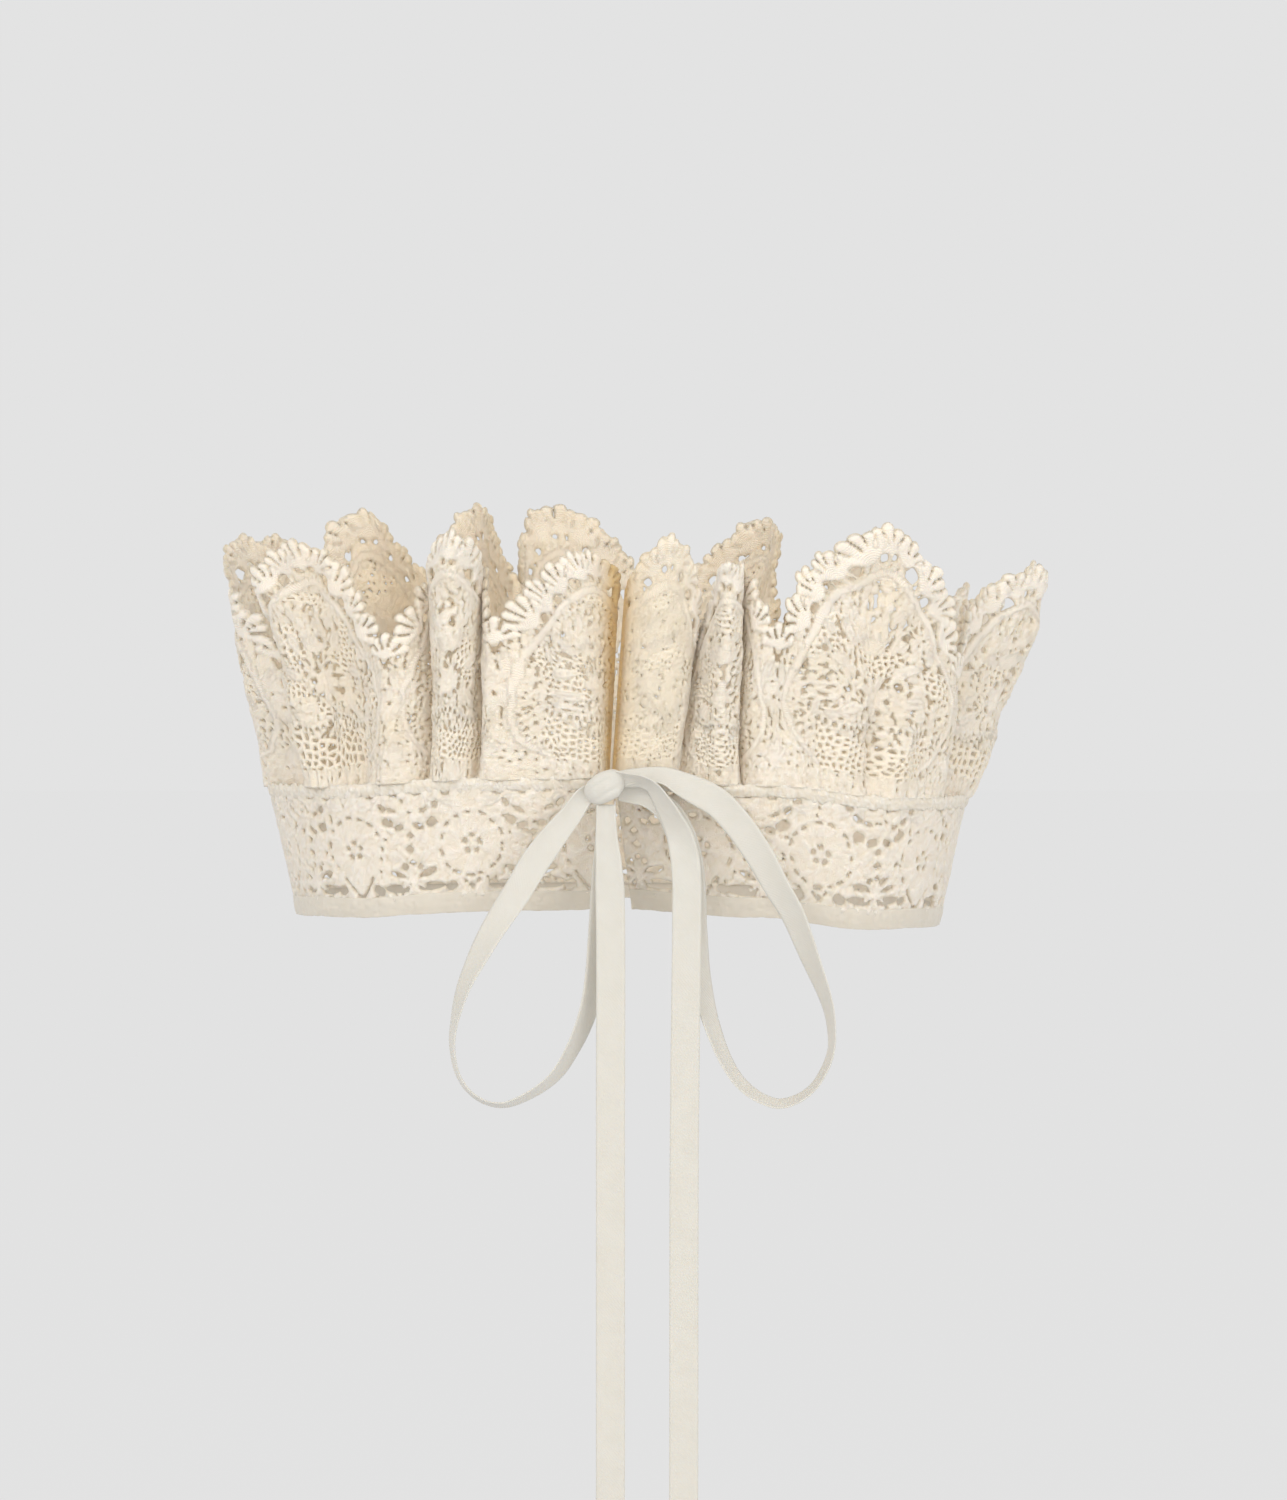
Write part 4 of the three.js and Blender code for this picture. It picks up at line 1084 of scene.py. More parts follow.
    def _between(self, lace: LaceField, rng: Random) -> None:
        """The open gap with its star, the diamonds and the lotus between two medallions."""
        rows = (
            (3.7, 5.7, 3.3, 0.95, 0.05, 2.0), (8.1, 5.6, 1.15, 0.85, 0.5, 3.0),
            (3.2, 8.5, 1.9, 0.6, 0.35, 2.0), (1.6, 10.0, 0.6, 0.55, 0.7, 3.0),
            (4.7, 19.2, 1.25, 0.85, 0.5, 3.4), (1.9, 18.2, 1.0, 0.6, -0.4, 3.0),
            (5.6, 22.6, 0.8, 0.5, 0.9, 2.6), (3.2, 21.6, 0.9, 0.32, 0.5, 2.0),
            (7.6, 24.8, 0.7, 0.45, 0.2, 3.0), (2.4, 25.2, 0.7, 0.4, 0.1, 3.0),
        )
        for side in (-1, 1):
            for x, y, half_width, half_height, angle, squareness in rows:
                size = pick(rng, 0.85, 1.15)
                centre = (side * x + uneven(rng, 0.3), y + uneven(rng, 0.2))
                lean = side * angle + uneven(rng, 0.2) * (y > 7)
                lace.hole(centre, half_width * size, half_height * size, lean, squareness)
        x, y = self.star
        rays = 9
        for k in range(rays):
            a = math.pi / 2 + math.tau * k / rays
            lace.thread(self.star, (x + 2.7 * math.cos(a), y + 2.5 * math.sin(a)), 0.28, 0.46, 0.5)
        lace.dot(self.star, 0.75, 0.5)
        lace.thread(self.star, (x, 4.4), 0.4, None, 0.4)
        for height, half in ((10.9, 0.75), (13.6, 1.0), (16.4, 0.8)):
            lace.diamond((uneven(rng, 0.2), height), half, half * 0.8)


# ---- Meshes ------------------------------------------------------

# Corner order of a cell is place, place + 1, then both one row up; 4 to 7 are the crossings of its
# bottom, right, top and left sides.
CELL_POLYGONS: dict[int, tuple[tuple[int, ...], ...]] = {
    1: ((0, 4, 7),), 2: ((1, 5, 4),), 3: ((0, 1, 5, 7),), 4: ((2, 6, 5),), 5: ((0, 4, 7), (2, 6, 5)),
    6: ((1, 2, 6, 4),), 7: ((0, 1, 2, 6, 7),), 8: ((3, 7, 6),), 9: ((0, 4, 6, 3),),
    10: ((1, 5, 4), (3, 7, 6)), 11: ((0, 1, 5, 6, 3),), 12: ((2, 3, 7, 5),), 13: ((0, 4, 5, 2, 3),),
    14: ((1, 2, 3, 7, 4),), 15: ((0, 1, 2, 3),),
}


def new_mesh_object(name: str, vertices: Array, polygons: Iterable[Array]) -> Piece:
    """Makes a smooth mesh object from arrays.

    Args:
        name: the piece's name.
        vertices: points in metres.
        polygons: arrays of vertex numbers, one array for all faces of a kind.

    Returns:
        The object, linked to the scene.
    """
    groups = [np.asarray(group) for group in polygons if len(group)]
    loops = np.concatenate([group.ravel() for group in groups]).astype(np.int32)
    sizes = np.concatenate([np.full(len(group), group.shape[1]) for group in groups]).astype(np.int32)
    starts = np.concatenate([[0], np.cumsum(sizes)[:-1]]).astype(np.int32)
    mesh = bpy.data.meshes.new(name)
    mesh.vertices.add(len(vertices))
    mesh.vertices.foreach_set("co", np.asarray(vertices, dtype=np.float32).ravel())
    mesh.loops.add(len(loops))
    mesh.loops.foreach_set("vertex_index", loops)
    mesh.polygons.add(len(sizes))
    mesh.polygons.foreach_set("loop_start", starts)
    mesh.update(calc_edges=True)
    mesh.validate(verbose=False)
    mesh.shade_smooth()
    piece = bpy.data.objects.new(name, mesh)
    bpy.context.scene.collection.objects.link(piece)
    return piece


def give_uv(piece: Piece, places: Array) -> None:
    """Writes a UV map that holds each vertex's place on the flat cloth, in centimetres."""
    mesh = piece.data
    corners = np.zeros(len(mesh.loops), dtype=np.int32)
    mesh.loops.foreach_get("vertex_index", corners)
    layer = mesh.uv_layers.new(name="cloth")
    layer.data.foreach_set("uv", (places[corners] * 0.1).astype(np.float32).ravel())


def grid_quads(columns: int, rows: int) -> Array:
    """The four corner numbers of each cell of a grid of vertices."""
    number = np.arange(columns * rows).reshape(columns, rows)
    cells = np.stack([number[:-1, :-1], number[1:, :-1], number[1:, 1:], number[:-1, 1:]], axis=-1)
    return cells.reshape(-1, 4)


def give_attribute(piece: Piece, name: str, values: Array) -> None:
    """Writes one number for each vertex."""
    layer = piece.data.attributes.new(name=name, type="FLOAT", domain="POINT")
    layer.data.foreach_set("value", values.astype(np.float32))


@dataclass
class LaceShell:
    """A thin closed shell of worked lace on a curved surface.

    Attributes:
        surface: gives the points of places and heights on the cloth.
        core: how far the bare cloth stands out on each side.
        back_relief: height of the relief on the back, as a share.
        rim: width in which it thins out to a hole's rim.
    """

    surface: Surface
    core: float = 0.26
    back_relief: float = 0.8
    rim: float = 0.4

    def build(self, name: str, along: Array, up: Array, lace: LaceField, depth: Array) -> Piece:
        """Makes the shell.

        Args:
            name: the piece's name.
            along: the grid's places along the cloth.
            up: the grid's heights on the cloth.
            lace: the worked lace on that grid, place by height.
            depth: how much shade is painted at each place along, as for its depth in a fold.

        Returns:
            The piece, with its UV map and attributes.
        """
        inside = np.where(np.abs(lace.inside) < 0.02, np.copysign(0.02, lace.inside), lace.inside)
        solid = inside > 0
        count = int(solid.sum())
        corner = np.full(solid.shape, -1)
        corner[solid] = np.arange(count)
        place, height = np.meshgrid(along, up, indexing="ij")

        def crossings(axis: int, first: int) -> tuple[Array, Array, Array, int]:
            """Numbers, places and heights of the rim's crossings of the grid lines of one axis."""
            def pair(values: Array) -> tuple[Array, Array]:
                """The values at both ends of each step along the axis."""
                return (values[:-1], values[1:]) if axis == 0 else (values[:, :-1], values[:, 1:])

            (solid0, solid1), (inside0, inside1) = pair(solid), pair(inside)
            crossed = solid0 != solid1
            share = np.clip(inside0 / np.where(crossed, inside0 - inside1, 1.0), 0.06, 0.94)[crossed]
            numbers = np.full(crossed.shape, -1)
            numbers[crossed] = first + np.arange(crossed.sum())
            x, y = (low[crossed] * (1 - share) + high[crossed] * share
                    for low, high in (pair(place), pair(height)))
            return numbers, x, y, int(crossed.sum())

        across_rims, ax, ay, across_count = crossings(0, 2 * count)
        up_rims, ux, uy, up_count = crossings(1, 2 * count + across_count)
        places = np.concatenate([place[solid], place[solid], ax, ux])
        heights = np.concatenate([height[solid], height[solid], ay, uy])
        thickness = LaceField.round_off(inside, self.rim)
        outer = (self.core + lace.height)[solid] * thickness[solid]
        inner = -(self.core + self.back_relief * lace.height)[solid] * thickness[solid]
        offsets = np.concatenate([outer, inner, np.zeros(across_count + up_count)])
        points = self._points(places, heights, offsets)

        outer_sides = [corner[:-1, :-1], corner[1:, :-1], corner[1:, 1:], corner[:-1, 1:]]
        rims = [across_rims[:, :-1], up_rims[1:, :], across_rims[:, 1:], up_rims[:-1, :]]
        case = sum(((side >= 0).astype(int) << k) for k, side in enumerate(outer_sides))
        polygons: list[Array] = []
        for number, shapes in CELL_POLYGONS.items():
            cells = case == number
            if not cells.any():
                continue
            for shape in shapes:
                outer_face = [outer_sides[k][cells] if k < 4 else rims[k - 4][cells] for k in shape]
                inner_face = [outer_sides[k][cells] + count if k < 4 else rims[k - 4][cells] for k in shape]
                polygons.append(np.stack(outer_face[::-1], axis=1))
                polygons.append(np.stack(inner_face, axis=1))
        polygons += self._walls(corner[:, 0], across_rims[:, 0], count)
        polygons += self._walls(corner[-1, :], up_rims[-1, :], count)
        polygons += [face[:, ::-1] for face in self._walls(corner[0, :], up_rims[0, :], count)]
        polygons += [face[:, ::-1] for face in self._walls(corner[:, -1], across_rims[:, -1], count)]
        piece = new_mesh_object(name, points * MM, polygons)
        give_uv(piece, np.column_stack([places, heights]))
        on_rims = np.zeros(across_count + up_count)
        # The relief and the fold amount drive painted shade in the material: low places, hole rims and the
        # back face, given less relief, come out darker, and the folds warmer and darker.
        raised, stitch = lace.height[solid], lace.stitch[solid]
        give_attribute(piece, "relief", np.concatenate([raised, 0.4 * raised, on_rims]))
        give_attribute(piece, "stitch", np.concatenate([stitch, stitch, on_rims]))
        give_attribute(piece, "painted_fold_shade", np.interp(places, along, depth))
        log.info("%s: %d faces", name, len(piece.data.polygons))
        return piece

    def _points(self, places: Array, heights: Array, offsets: Array) -> Array:
        """Points of the surface, moved out along its normals."""
        step = 0.25
        middle = self.surface(places, heights)
        ahead = self.surface(places + step, heights) - self.surface(places - step, heights)
        above = self.surface(places, heights + step) - self.surface(places, np.maximum(heights - step, 0))
        return middle + unit(np.cross(above, ahead)) * offsets[:, None]

    @staticmethod
    def _walls(line: Array, rims: Array, count: int) -> list[Array]:
        """Faces that close the shell along one straight border of its grid."""
        here, after = line[:-1], line[1:]
        both = (here >= 0) & (after >= 0)
        first = (here >= 0) & (after < 0)
        second = (here < 0) & (after >= 0)
        return [
            np.stack([here[both], after[both], after[both] + count, here[both] + count], axis=1),
            np.stack([here[first], rims[first], here[first] + count], axis=1),
            np.stack([rims[second], after[second], after[second] + count], axis=1),
        ]


# ---- Finishes ----------------------------------------------------


def srgb(red: int, green: int, blue: int) -> tuple[float, float, float, float]:
    """A display colour of 0 to 255 as the linear colour that shaders use."""
    def linear(value: int) -> float:
        """One channel's linear value."""
        share = value / 255
        return share / 12.92 if share <= 0.04045 else ((share + 0.055) / 1.055) ** 2.4
    return linear(red), linear(green), linear(blue), 1.0


class Nodes:
    """Short calls that add and join a material's nodes."""

    def __init__(self, name: str) -> None:
        """Starts an empty material."""
        self.material = bpy.data.materials.new(name)
        self.material.use_nodes = True
        self.tree = self.material.node_tree
        self.tree.nodes.clear()

    def add(self, kind: str, **values: object) -> bpy.types.Node:
        """Adds a node, and sets its properties or, where it has none of the name, its sockets."""
        node = self.tree.nodes.new(kind)
        for key, value in values.items():
            label = key.replace("_", " ").title()
            if hasattr(node, key):
                setattr(node, key, value)
            else:
                node.inputs[label].default_value = value
        return node

    def join(self, output: Socket, socket: Socket) -> None:
        """Joins two sockets."""
        self.tree.links.new(output, socket)

    def math(self, operation: str, first: object, second: object = 0.0) -> Socket:
        """A Math node's result."""
        node = self.tree.nodes.new("ShaderNodeMath")
        node.operation = operation
        for socket, value in zip(node.inputs, (first, second)):
            if isinstance(value, Socket):
                self.join(value, socket)
            else:
                socket.default_value = float(value)
        return node.outputs[0]

    def noise(self, place: Socket, **values: float) -> Socket:
        """A noise texture's value at a place."""
        node = self.add("ShaderNodeTexNoise", **values)
        self.join(place, node.inputs["Vector"])
        return node.outputs[0]

    def surface(self, values: dict[str, object]) -> bpy.types.Node:
        """A Principled shader with some sockets' values, joined to the material's output."""
        shader = self.tree.nodes.new("ShaderNodeBsdfPrincipled")
        for label, value in values.items():
            shader.inputs[label].default_value = value
        output = self.tree.nodes.new("ShaderNodeOutputMaterial")
        self.join(shader.outputs[0], output.inputs["Surface"])
        return shader

    def cloth(self, colour: Socket, grain: Socket, strength: float,
              distance: float, values: dict[str, object]) -> Material:
        """Finishes a cloth's material.

        Args:
            colour: its colour.
            grain: the height of its fine grain.
            strength: how strongly the grain shows.
            distance: how high the grain is, in metres.
            values: the shader's other values.

        Returns:
            The material.
        """
        bump = self.add("ShaderNodeBump", strength=strength, distance=distance)
        self.join(grain, bump.inputs["Height"])
        shader = self.surface({"Subsurface Radius": (1.0, 0.75, 0.5), **values})
        self.join(colour, shader.inputs["Base Color"])
        self.join(bump.outputs[0], shader.inputs["Normal"])
        return self.material

    def ramp(self, factor: Socket, low: object, high: object) -> Socket:
        """A mix of two colours by a factor."""
        node = self.tree.nodes.new("ShaderNodeMix")
        node.data_type = "RGBA"
        self.join(factor, node.inputs[0])
        for socket, value in ((node.inputs[6], low), (node.inputs[7], high)):
            if isinstance(value, Socket):
                self.join(value, socket)
            else:
                socket.default_value = value
        return node.outputs[2]


@dataclass(frozen=True)
class LaceCotton:
    """Matt off-white cotton thread with stitches across it, and painted shade: a darker, warmer tone in the
    folds and near the front opening, and a darker tone in the low places between the raised threads.
    """

    name: str = "lace_cotton"
    # The cotton's own colour, on the raised threads.
    light: tuple[int, int, int] = (245, 237, 225)
    # Colour of the shade painted into the folds, the valleys and the front opening.
    deep: tuple[int, int, int] = (219, 189, 136)
    # Colour of the shade painted into the low places between the raised threads and at the holes' rims.
    ground: tuple[int, int, int] = (235, 222, 200)
    stitch_pitch: float = 0.42
    bump: float = 0.55
    roughness: float = 0.86

    def make(self) -> Material:
        """Makes the material."""
        nodes = Nodes(self.name)
        uv = nodes.add("ShaderNodeUVMap", uv_map="cloth").outputs[0]
        relief = nodes.add("ShaderNodeAttribute", attribute_name="relief").outputs["Fac"]
        depth = nodes.add("ShaderNodeAttribute", attribute_name="painted_fold_shade").outputs["Fac"]
        stitch = nodes.add("ShaderNodeAttribute", attribute_name="stitch").outputs["Fac"]
        mottle = nodes.noise(uv, scale=1.4, detail=3.0)
        fuzz = nodes.noise(uv, scale=28.0, detail=4.0, roughness=0.7)
        # Painted shade: where the relief is low, between raised threads and at the holes' rims, the darker
        # ground colour is painted in.
        raised = nodes.math("MULTIPLY", relief, 2.4)
        colour = nodes.ramp(nodes.math("MINIMUM", raised, 1.0), srgb(*self.ground), srgb(*self.light))
        # Painted shade: the depth in a fold and nearness to the front opening mix in the golden shade
        # colour, with a little random mottling.
        painted_shade = nodes.math("MULTIPLY", nodes.math("POWER", depth, 1.7), 0.95)
        painted_shade = nodes.math("ADD", painted_shade, nodes.math("MULTIPLY", mottle, 0.12))
        colour = nodes.ramp(nodes.math("MINIMUM", painted_shade, 1.0), colour, srgb(*self.deep))
        wave = nodes.math("SINE", nodes.math("MULTIPLY", stitch, math.tau / self.stitch_pitch))
        grain = nodes.math("ADD", nodes.math("MULTIPLY", wave, 0.3), fuzz)
        return nodes.cloth(colour, grain, self.bump, 0.35 * MM, {
            "Roughness": self.roughness, "Specular IOR Level": 0.25, "Sheen Weight": 0.25,
            "Sheen Roughness": 0.5, "Subsurface Weight": 0.2, "Subsurface Scale": 1.3 * MM})


@dataclass(frozen=True)
class WovenCotton:
    """A plain woven tape or ribbon: two sets of threads, a little mottling and a soft sheen."""

    name: str
    light: tuple[int, int, int]
    shade: tuple[int, int, int]
    pitch: float = 0.34
    slant: float = 0.0
    bump: float = 0.25
    roughness: float = 0.75
    sheen: float = 0.25

    def make(self) -> Material:
        """Makes the material."""
        nodes = Nodes(self.name)
        uv = nodes.add("ShaderNodeUVMap", uv_map="cloth").outputs[0]
        turned = nodes.add("ShaderNodeMapping")
        turned.inputs["Rotation"].default_value = (0.0, 0.0, self.slant)
        nodes.join(uv, turned.inputs["Vector"])
        parts = nodes.add("ShaderNodeSeparateXYZ")
        nodes.join(turned.outputs[0], parts.inputs[0])
        turns = math.tau * 10.0 / self.pitch
        warp = nodes.math("SINE", nodes.math("MULTIPLY", parts.outputs[0], turns))
        weft = nodes.math("SINE", nodes.math("MULTIPLY", parts.outputs[1], turns))
        mottle = nodes.noise(uv, scale=2.2, detail=4.0)
        fuzz = nodes.noise(uv, scale=40.0, detail=3.0)
        colour = nodes.ramp(mottle, srgb(*self.light), srgb(*self.shade))
        weave = nodes.math("MULTIPLY", warp, 0.35) if self.slant else nodes.math("MULTIPLY", warp, weft)
        grain = nodes.math("ADD", nodes.math("MULTIPLY", weave, 0.5), fuzz)
        return nodes.cloth(colour, grain, self.bump, 0.2 * MM, {
            "Roughness": self.roughness, "Specular IOR Level": 0.3, "Sheen Weight": self.sheen,
            "Subsurface Weight": 0.15, "Subsurface Scale": 1.0 * MM})


@dataclass(frozen=True)
class StudioPaint:
    """The even pale grey of the studio's floor."""

    name: str = "studio_paint"
    colour: tuple[int, int, int] = (227, 227, 227)
    glow: float = 0.93

    def make(self) -> Material:
        """Makes the material."""
        nodes = Nodes(self.name)
        nodes.surface({
            "Roughness": 0.95, "Specular IOR Level": 0.0, "Base Color": (0.06, 0.06, 0.06, 1.0),
            "Emission Color": srgb(*self.colour), "Emission Strength": self.glow})
        return nodes.material


# ---- Studio ------------------------------------------------------


@dataclass
class Studio:
    """Camera, floor and lights."""

    view_width: float = 276.705
    sensor: float = 36.0
    elevation: float = 2.0
    distance: float = 1500.0
    target: tuple[float, float, float] = (5.5, 0.0, 34.8)
    floor: float = -300.0

    def build(self) -> None:
        """Makes the camera, the floor and the lights."""
        self._camera()
        self._floor()
        self._lights()
        bpy.context.scene.view_settings.view_transform = "Standard"

    def _camera(self) -> None:
        """The camera, square to the collar's front and a little above it."""
        data = bpy.data.cameras.new("camera")
        data.sensor_fit = "HORIZONTAL"
        data.sensor_width = self.sensor
        data.lens = self.sensor * self.distance / self.view_width
        data.clip_end = 50.0
        camera = bpy.data.objects.new("camera", data)
        bpy.context.scene.collection.objects.link(camera)
        angle = math.radians(self.elevation)
        away = Vector((0.0, -math.cos(angle), math.sin(angle))) * self.distance
        camera.location = (Vector(self.target) + away) * MM
        camera.rotation_euler = (math.pi / 2 - angle, 0.0, 0.0)
        bpy.context.scene.camera = camera

    def _floor(self) -> None:
        """The wide floor below the collar."""
        bpy.ops.object.select_all(action="DESELECT")
        bpy.ops.mesh.primitive_plane_add(size=16.0, location=(0.0, 0.0, self.floor * MM))
        floor = bpy.context.active_object
        floor.name = "studio_floor"
        floor.data.materials.append(StudioPaint().make())

    def _lights(self) -> None:
        """Broad lights from the upper left, the right and the front, and an even sky."""
        world = bpy.data.worlds.new("studio_air")
        world.use_nodes = True
        background = world.node_tree.nodes["Background"]
        background.inputs["Color"].default_value = srgb(227, 227, 227)
        background.inputs["Strength"].default_value = 1.0
        bpy.context.scene.world = world
        self._lamp("key_light", (-700.0, -1200.0, 900.0), 700.0, 7.0, (1.0, 0.985, 0.96))
        self._lamp("fill_light", (1000.0, -1200.0, 500.0), 900.0, 6.0, (1.0, 0.99, 0.97))
        self._lamp("front_light", (0.0, -1500.0, -100.0), 1200.0, 4.6, (1.0, 0.99, 0.97))

    def _lamp(self, name: str, place: tuple[float, float, float], size: float, power: float,
              colour: tuple[float, float, float]) -> None:
        """A square area light aimed at the collar."""
        data = bpy.data.lights.new(name, "AREA")
        data.size = size * MM
        data.energy = power
        data.color = colour
        lamp = bpy.data.objects.new(name, data)
        bpy.context.scene.collection.objects.link(lamp)
        lamp.location = Vector(place) * MM
        aim = Vector((0.0, 0.0, 30.0)) - Vector(place)
        lamp.rotation_euler = aim.to_track_quat("-Z", "Y").to_euler()


# ---- Ribbon bow --------------------------------------------------


@dataclass
class Ribbon:
    """A stretch of narrow ribbon: a thin strip with a slightly thicker selvedge along each edge."""

    name: str
    node: str
    route: Sequence[tuple[float, float, float, float]]
    far_end: str
    width: float = RIBBON_WIDTH
    thickness: float = 0.34
    selvedge: float = 0.16
    steps_per_row: int = 12
    across_count: int = 13
    curl: float = 0.25
    gathered_width: float = 0.66
    gathered_length: float = 19.0

    def _frame(self) -> tuple[Array, Array, Array, Array]:
        """Middle points, sideways and facing directions, and the length up to each point."""
        rows = np.array(self.route, dtype=float)
        curve = SmoothCurve(rows[:, :3])
        place = np.linspace(0, len(rows) - 1, (len(rows) - 1) * self.steps_per_row + 1)
        middle = curve.at(place)
        tangent = curve.heading(place, 0.01)
        roll = np.radians(np.interp(place, np.arange(len(rows)), rows[:, 3]))
        front = np.array([0.0, -1.0, 0.0])
        aside = unit(np.cross(front, tangent))
        across = aside * np.cos(roll)[:, None] + front * np.sin(roll)[:, None]
        across = unit(across - tangent * np.sum(across * tangent, axis=1, keepdims=True))
        facing = np.cross(tangent, across)
        return middle, across, facing, lengths_along(middle)

    def length(self) -> float:
        """Length of the stretch along its middle."""
        return float(self._frame()[3][-1])

    def build(self, material: Material) -> Piece:
        """Args:
            material: its finish.

        Returns:
            The piece.
        """
        middle, across, facing, lengths = self._frame()
        share = np.linspace(-1, 1, self.across_count)
        edge = np.abs(share)
        half = self.thickness / 2 + self.selvedge / 2 * bell(edge - 0.9, 0.07)
        half = half * np.sqrt(np.clip(1 - np.clip((edge - 0.93) / 0.08, 0, 1) ** 2, 0.04, 1))
        from_knot = np.clip(lengths / self.gathered_length, 0, 1)
        if self.far_end == "object":
            from_knot = np.minimum(from_knot, np.clip((lengths[-1] - lengths) / self.gathered_length, 0, 1))
        narrow = self.gathered_width + (1 - self.gathered_width) * ease(from_knot)
        cup = (self.curl + 1.3 * (1 - narrow))[:, None] * (share**2 - 0.4)[None, :]
        ripple = 0.07 * soft_noise(lengths[:, None], 3 * share[None, :], 11.0, len(self.name))
        aside = across[:, None, :] * (narrow[:, None] * share[None, :] * self.width / 2)[..., None]
        sheet = middle[:, None, :] + aside
        face = sheet + facing[:, None, :] * (cup + ripple + half)[..., None]
        back = sheet + facing[:, None, :] * (cup + ripple - half)[..., None]
        rows, columns = face.shape[:2]
        vertices = np.concatenate([face.reshape(-1, 3), back.reshape(-1, 3)])
        number = np.arange(rows * columns).reshape(rows, columns)
        faces = grid_quads(rows, columns)
        other = faces[:, ::-1] + rows * columns
        rim = np.concatenate([number[0, :], number[1:, -1], number[-1, -2::-1], number[-2:0:-1, 0]])
        after = np.roll(rim, -1)
        side = np.stack([rim, after, after + rows * columns, rim + rows * columns], axis=1)
        piece = new_mesh_object(self.name, vertices * MM, [faces, other, side])
        places = np.stack(np.meshgrid(lengths, share * self.width / 2, indexing="ij"), axis=-1)
        give_uv(piece, np.concatenate([places.reshape(-1, 2)] * 2))
        face_outwards(piece)
        piece.data.materials.append(material)
        finish_piece(piece, "ribbon", self.node)
        self.length() * MM
        return piece


def select_only(piece: Piece) -> None:
    """Selects one object for the operators."""
    bpy.ops.object.select_all(action="DESELECT")
    bpy.context.view_layer.objects.active = piece
    piece.select_set(True)


def face_outwards(piece: Piece) -> None:
    """Turns all faces of a closed piece outwards."""
    select_only(piece)
    bpy.ops.object.mode_set(mode="EDIT")
    bpy.ops.mesh.select_all(action="SELECT")
    bpy.ops.mesh.normals_make_consistent(inside=False)
    bpy.ops.object.mode_set(mode="OBJECT")
    piece.select_set(False)


def finish_piece(piece: Piece, slot: str, *nodes: str) -> None:
    """Attaches a piece to its body, and hides the frame's nodes that it stands for."""
    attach(piece, BODY)
    if nodes:
        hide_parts(*nodes)


@dataclass
class Bow:
    """The ribbon bow: two loops, two tails, the knot and the stretch behind it."""

    cloth: WovenCotton = field(default_factory=lambda: WovenCotton(
        "ribbon_cotton", (214, 211, 203), (206, 202, 192), pitch=0.5, slant=0.9, roughness=0.6, sheen=0.35))

    def build(self) -> None:
        """Makes every stretch of ribbon."""
        material = self.cloth.make()
        stretches = (
            Ribbon("bow_loop_left", "ribbon_loop_left", LEFT_LOOP, "object"),
            Ribbon("bow_loop_right", "ribbon_loop_right", RIGHT_LOOP, "object"),
            Ribbon("bow_tail_left", "ribbon_tail_left", LEFT_TAIL, "bare"),
            Ribbon("bow_tail_right", "ribbon_tail_right", RIGHT_TAIL, "bare"),
        )
        for ribbon in stretches:
            ribbon.build(material)
            log.info("%s: %.1f mm", ribbon.name, ribbon.length())
        self._knot(material)
        self._tie(material)

    def _knot(self, material: Material) -> None:
        """The soft knot: one turn of ribbon that rises from the left loop and swells over the others."""
        middle = SmoothCurve(np.array([(-6.0, -66.3, 27.4), (-4.4, -67.4, 28.4), (-2.4, -67.9, 29.6),
                                       (-0.4, -67.5, 30.4), (1.3, -66.5, 30.6)]))
        bpy.ops.object.select_all(action="DESELECT")
        bpy.ops.mesh.primitive_uv_sphere_add(segments=72, ring_count=56, radius=1.0)
        knot = bpy.context.active_object
        knot.name = knot.data.name = "bow_knot"
        mesh = knot.data
        flat = np.zeros(len(mesh.vertices) * 3, dtype=np.float32)
        mesh.vertices.foreach_get("co", flat)
        ball = flat.reshape(-1, 3).astype(float)
        along = np.clip(ball[:, 2], -1.0, 1.0)
        around = np.arctan2(ball[:, 1], ball[:, 0])
        aside, front = (np.copysign(np.abs(wave) ** 0.85, wave) for wave in (np.cos(around), np.sin(around)))
        blunt = 3.4
        end = (1 - np.abs(along) ** blunt) ** (1 / blunt)
        stops = (-1.0, -0.5, 0.0, 0.5, 1.0)
        half_width = np.interp(along, stops, (2.2, 2.8, 3.1, 3.0, 2.4)) * end
        half_depth = np.interp(along, stops, (1.2, 1.6, 1.8, 1.6, 1.2)) * end
        fold = bell(aside - 0.42 + 0.2 * along, 0.16) + 0.8 * bell(aside + 0.4, 0.13)
        crinkle = 0.05 * np.sin(9.0 * along + 3.0 * aside) * (1 - np.abs(along))
        half_depth = half_depth * (1 - 0.14 * fold * np.clip(1.1 - np.abs(along), 0, 1) + crinkle)
        centre = middle.at(2.0 + 2.0 * along)
        heading = middle.heading(2.0 + 2.0 * along, 0.05)
        facing = unit(np.array([0.0, -1.0, 0.0]) + heading * heading[:, 1:2])
        across = np.cross(heading, facing)
        shaped = centre + across * (half_width * aside)[:, None] + facing * (half_depth * front)[:, None]
        mesh.vertices.foreach_set("co", (shaped * MM).astype(np.float32).ravel())
        mesh.update()
        while mesh.uv_layers:
            mesh.uv_layers.remove(mesh.uv_layers[0])
        give_uv(knot, np.column_stack([4.0 * along, aside * 3.0]))
        face_outwards(knot)
        mesh.shade_smooth()
        knot.data.materials.append(material)
        finish_piece(knot, "ribbon", "ribbon_knot")

    def _tie(self, material: Material) -> None:
        """The short stretch that crosses the front opening behind the knot."""
        low, high = (np.array(corner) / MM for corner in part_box("ribbon_tie"))
        x = np.linspace(low[0], high[0], 31)
        z = np.linspace(low[2], high[2], 9)
        y = (low[1] + high[1]) / 2 + 0.25 * np.sin(x * 0.7)
        grid = np.stack(np.broadcast_arrays(x[:, None], y[:, None], z[None, :]), axis=-1)
        piece = strip("bow_tie_stretch", grid, 0.5)
        piece.data.materials.append(material)
        finish_piece(piece, "ribbon", "ribbon_tie")


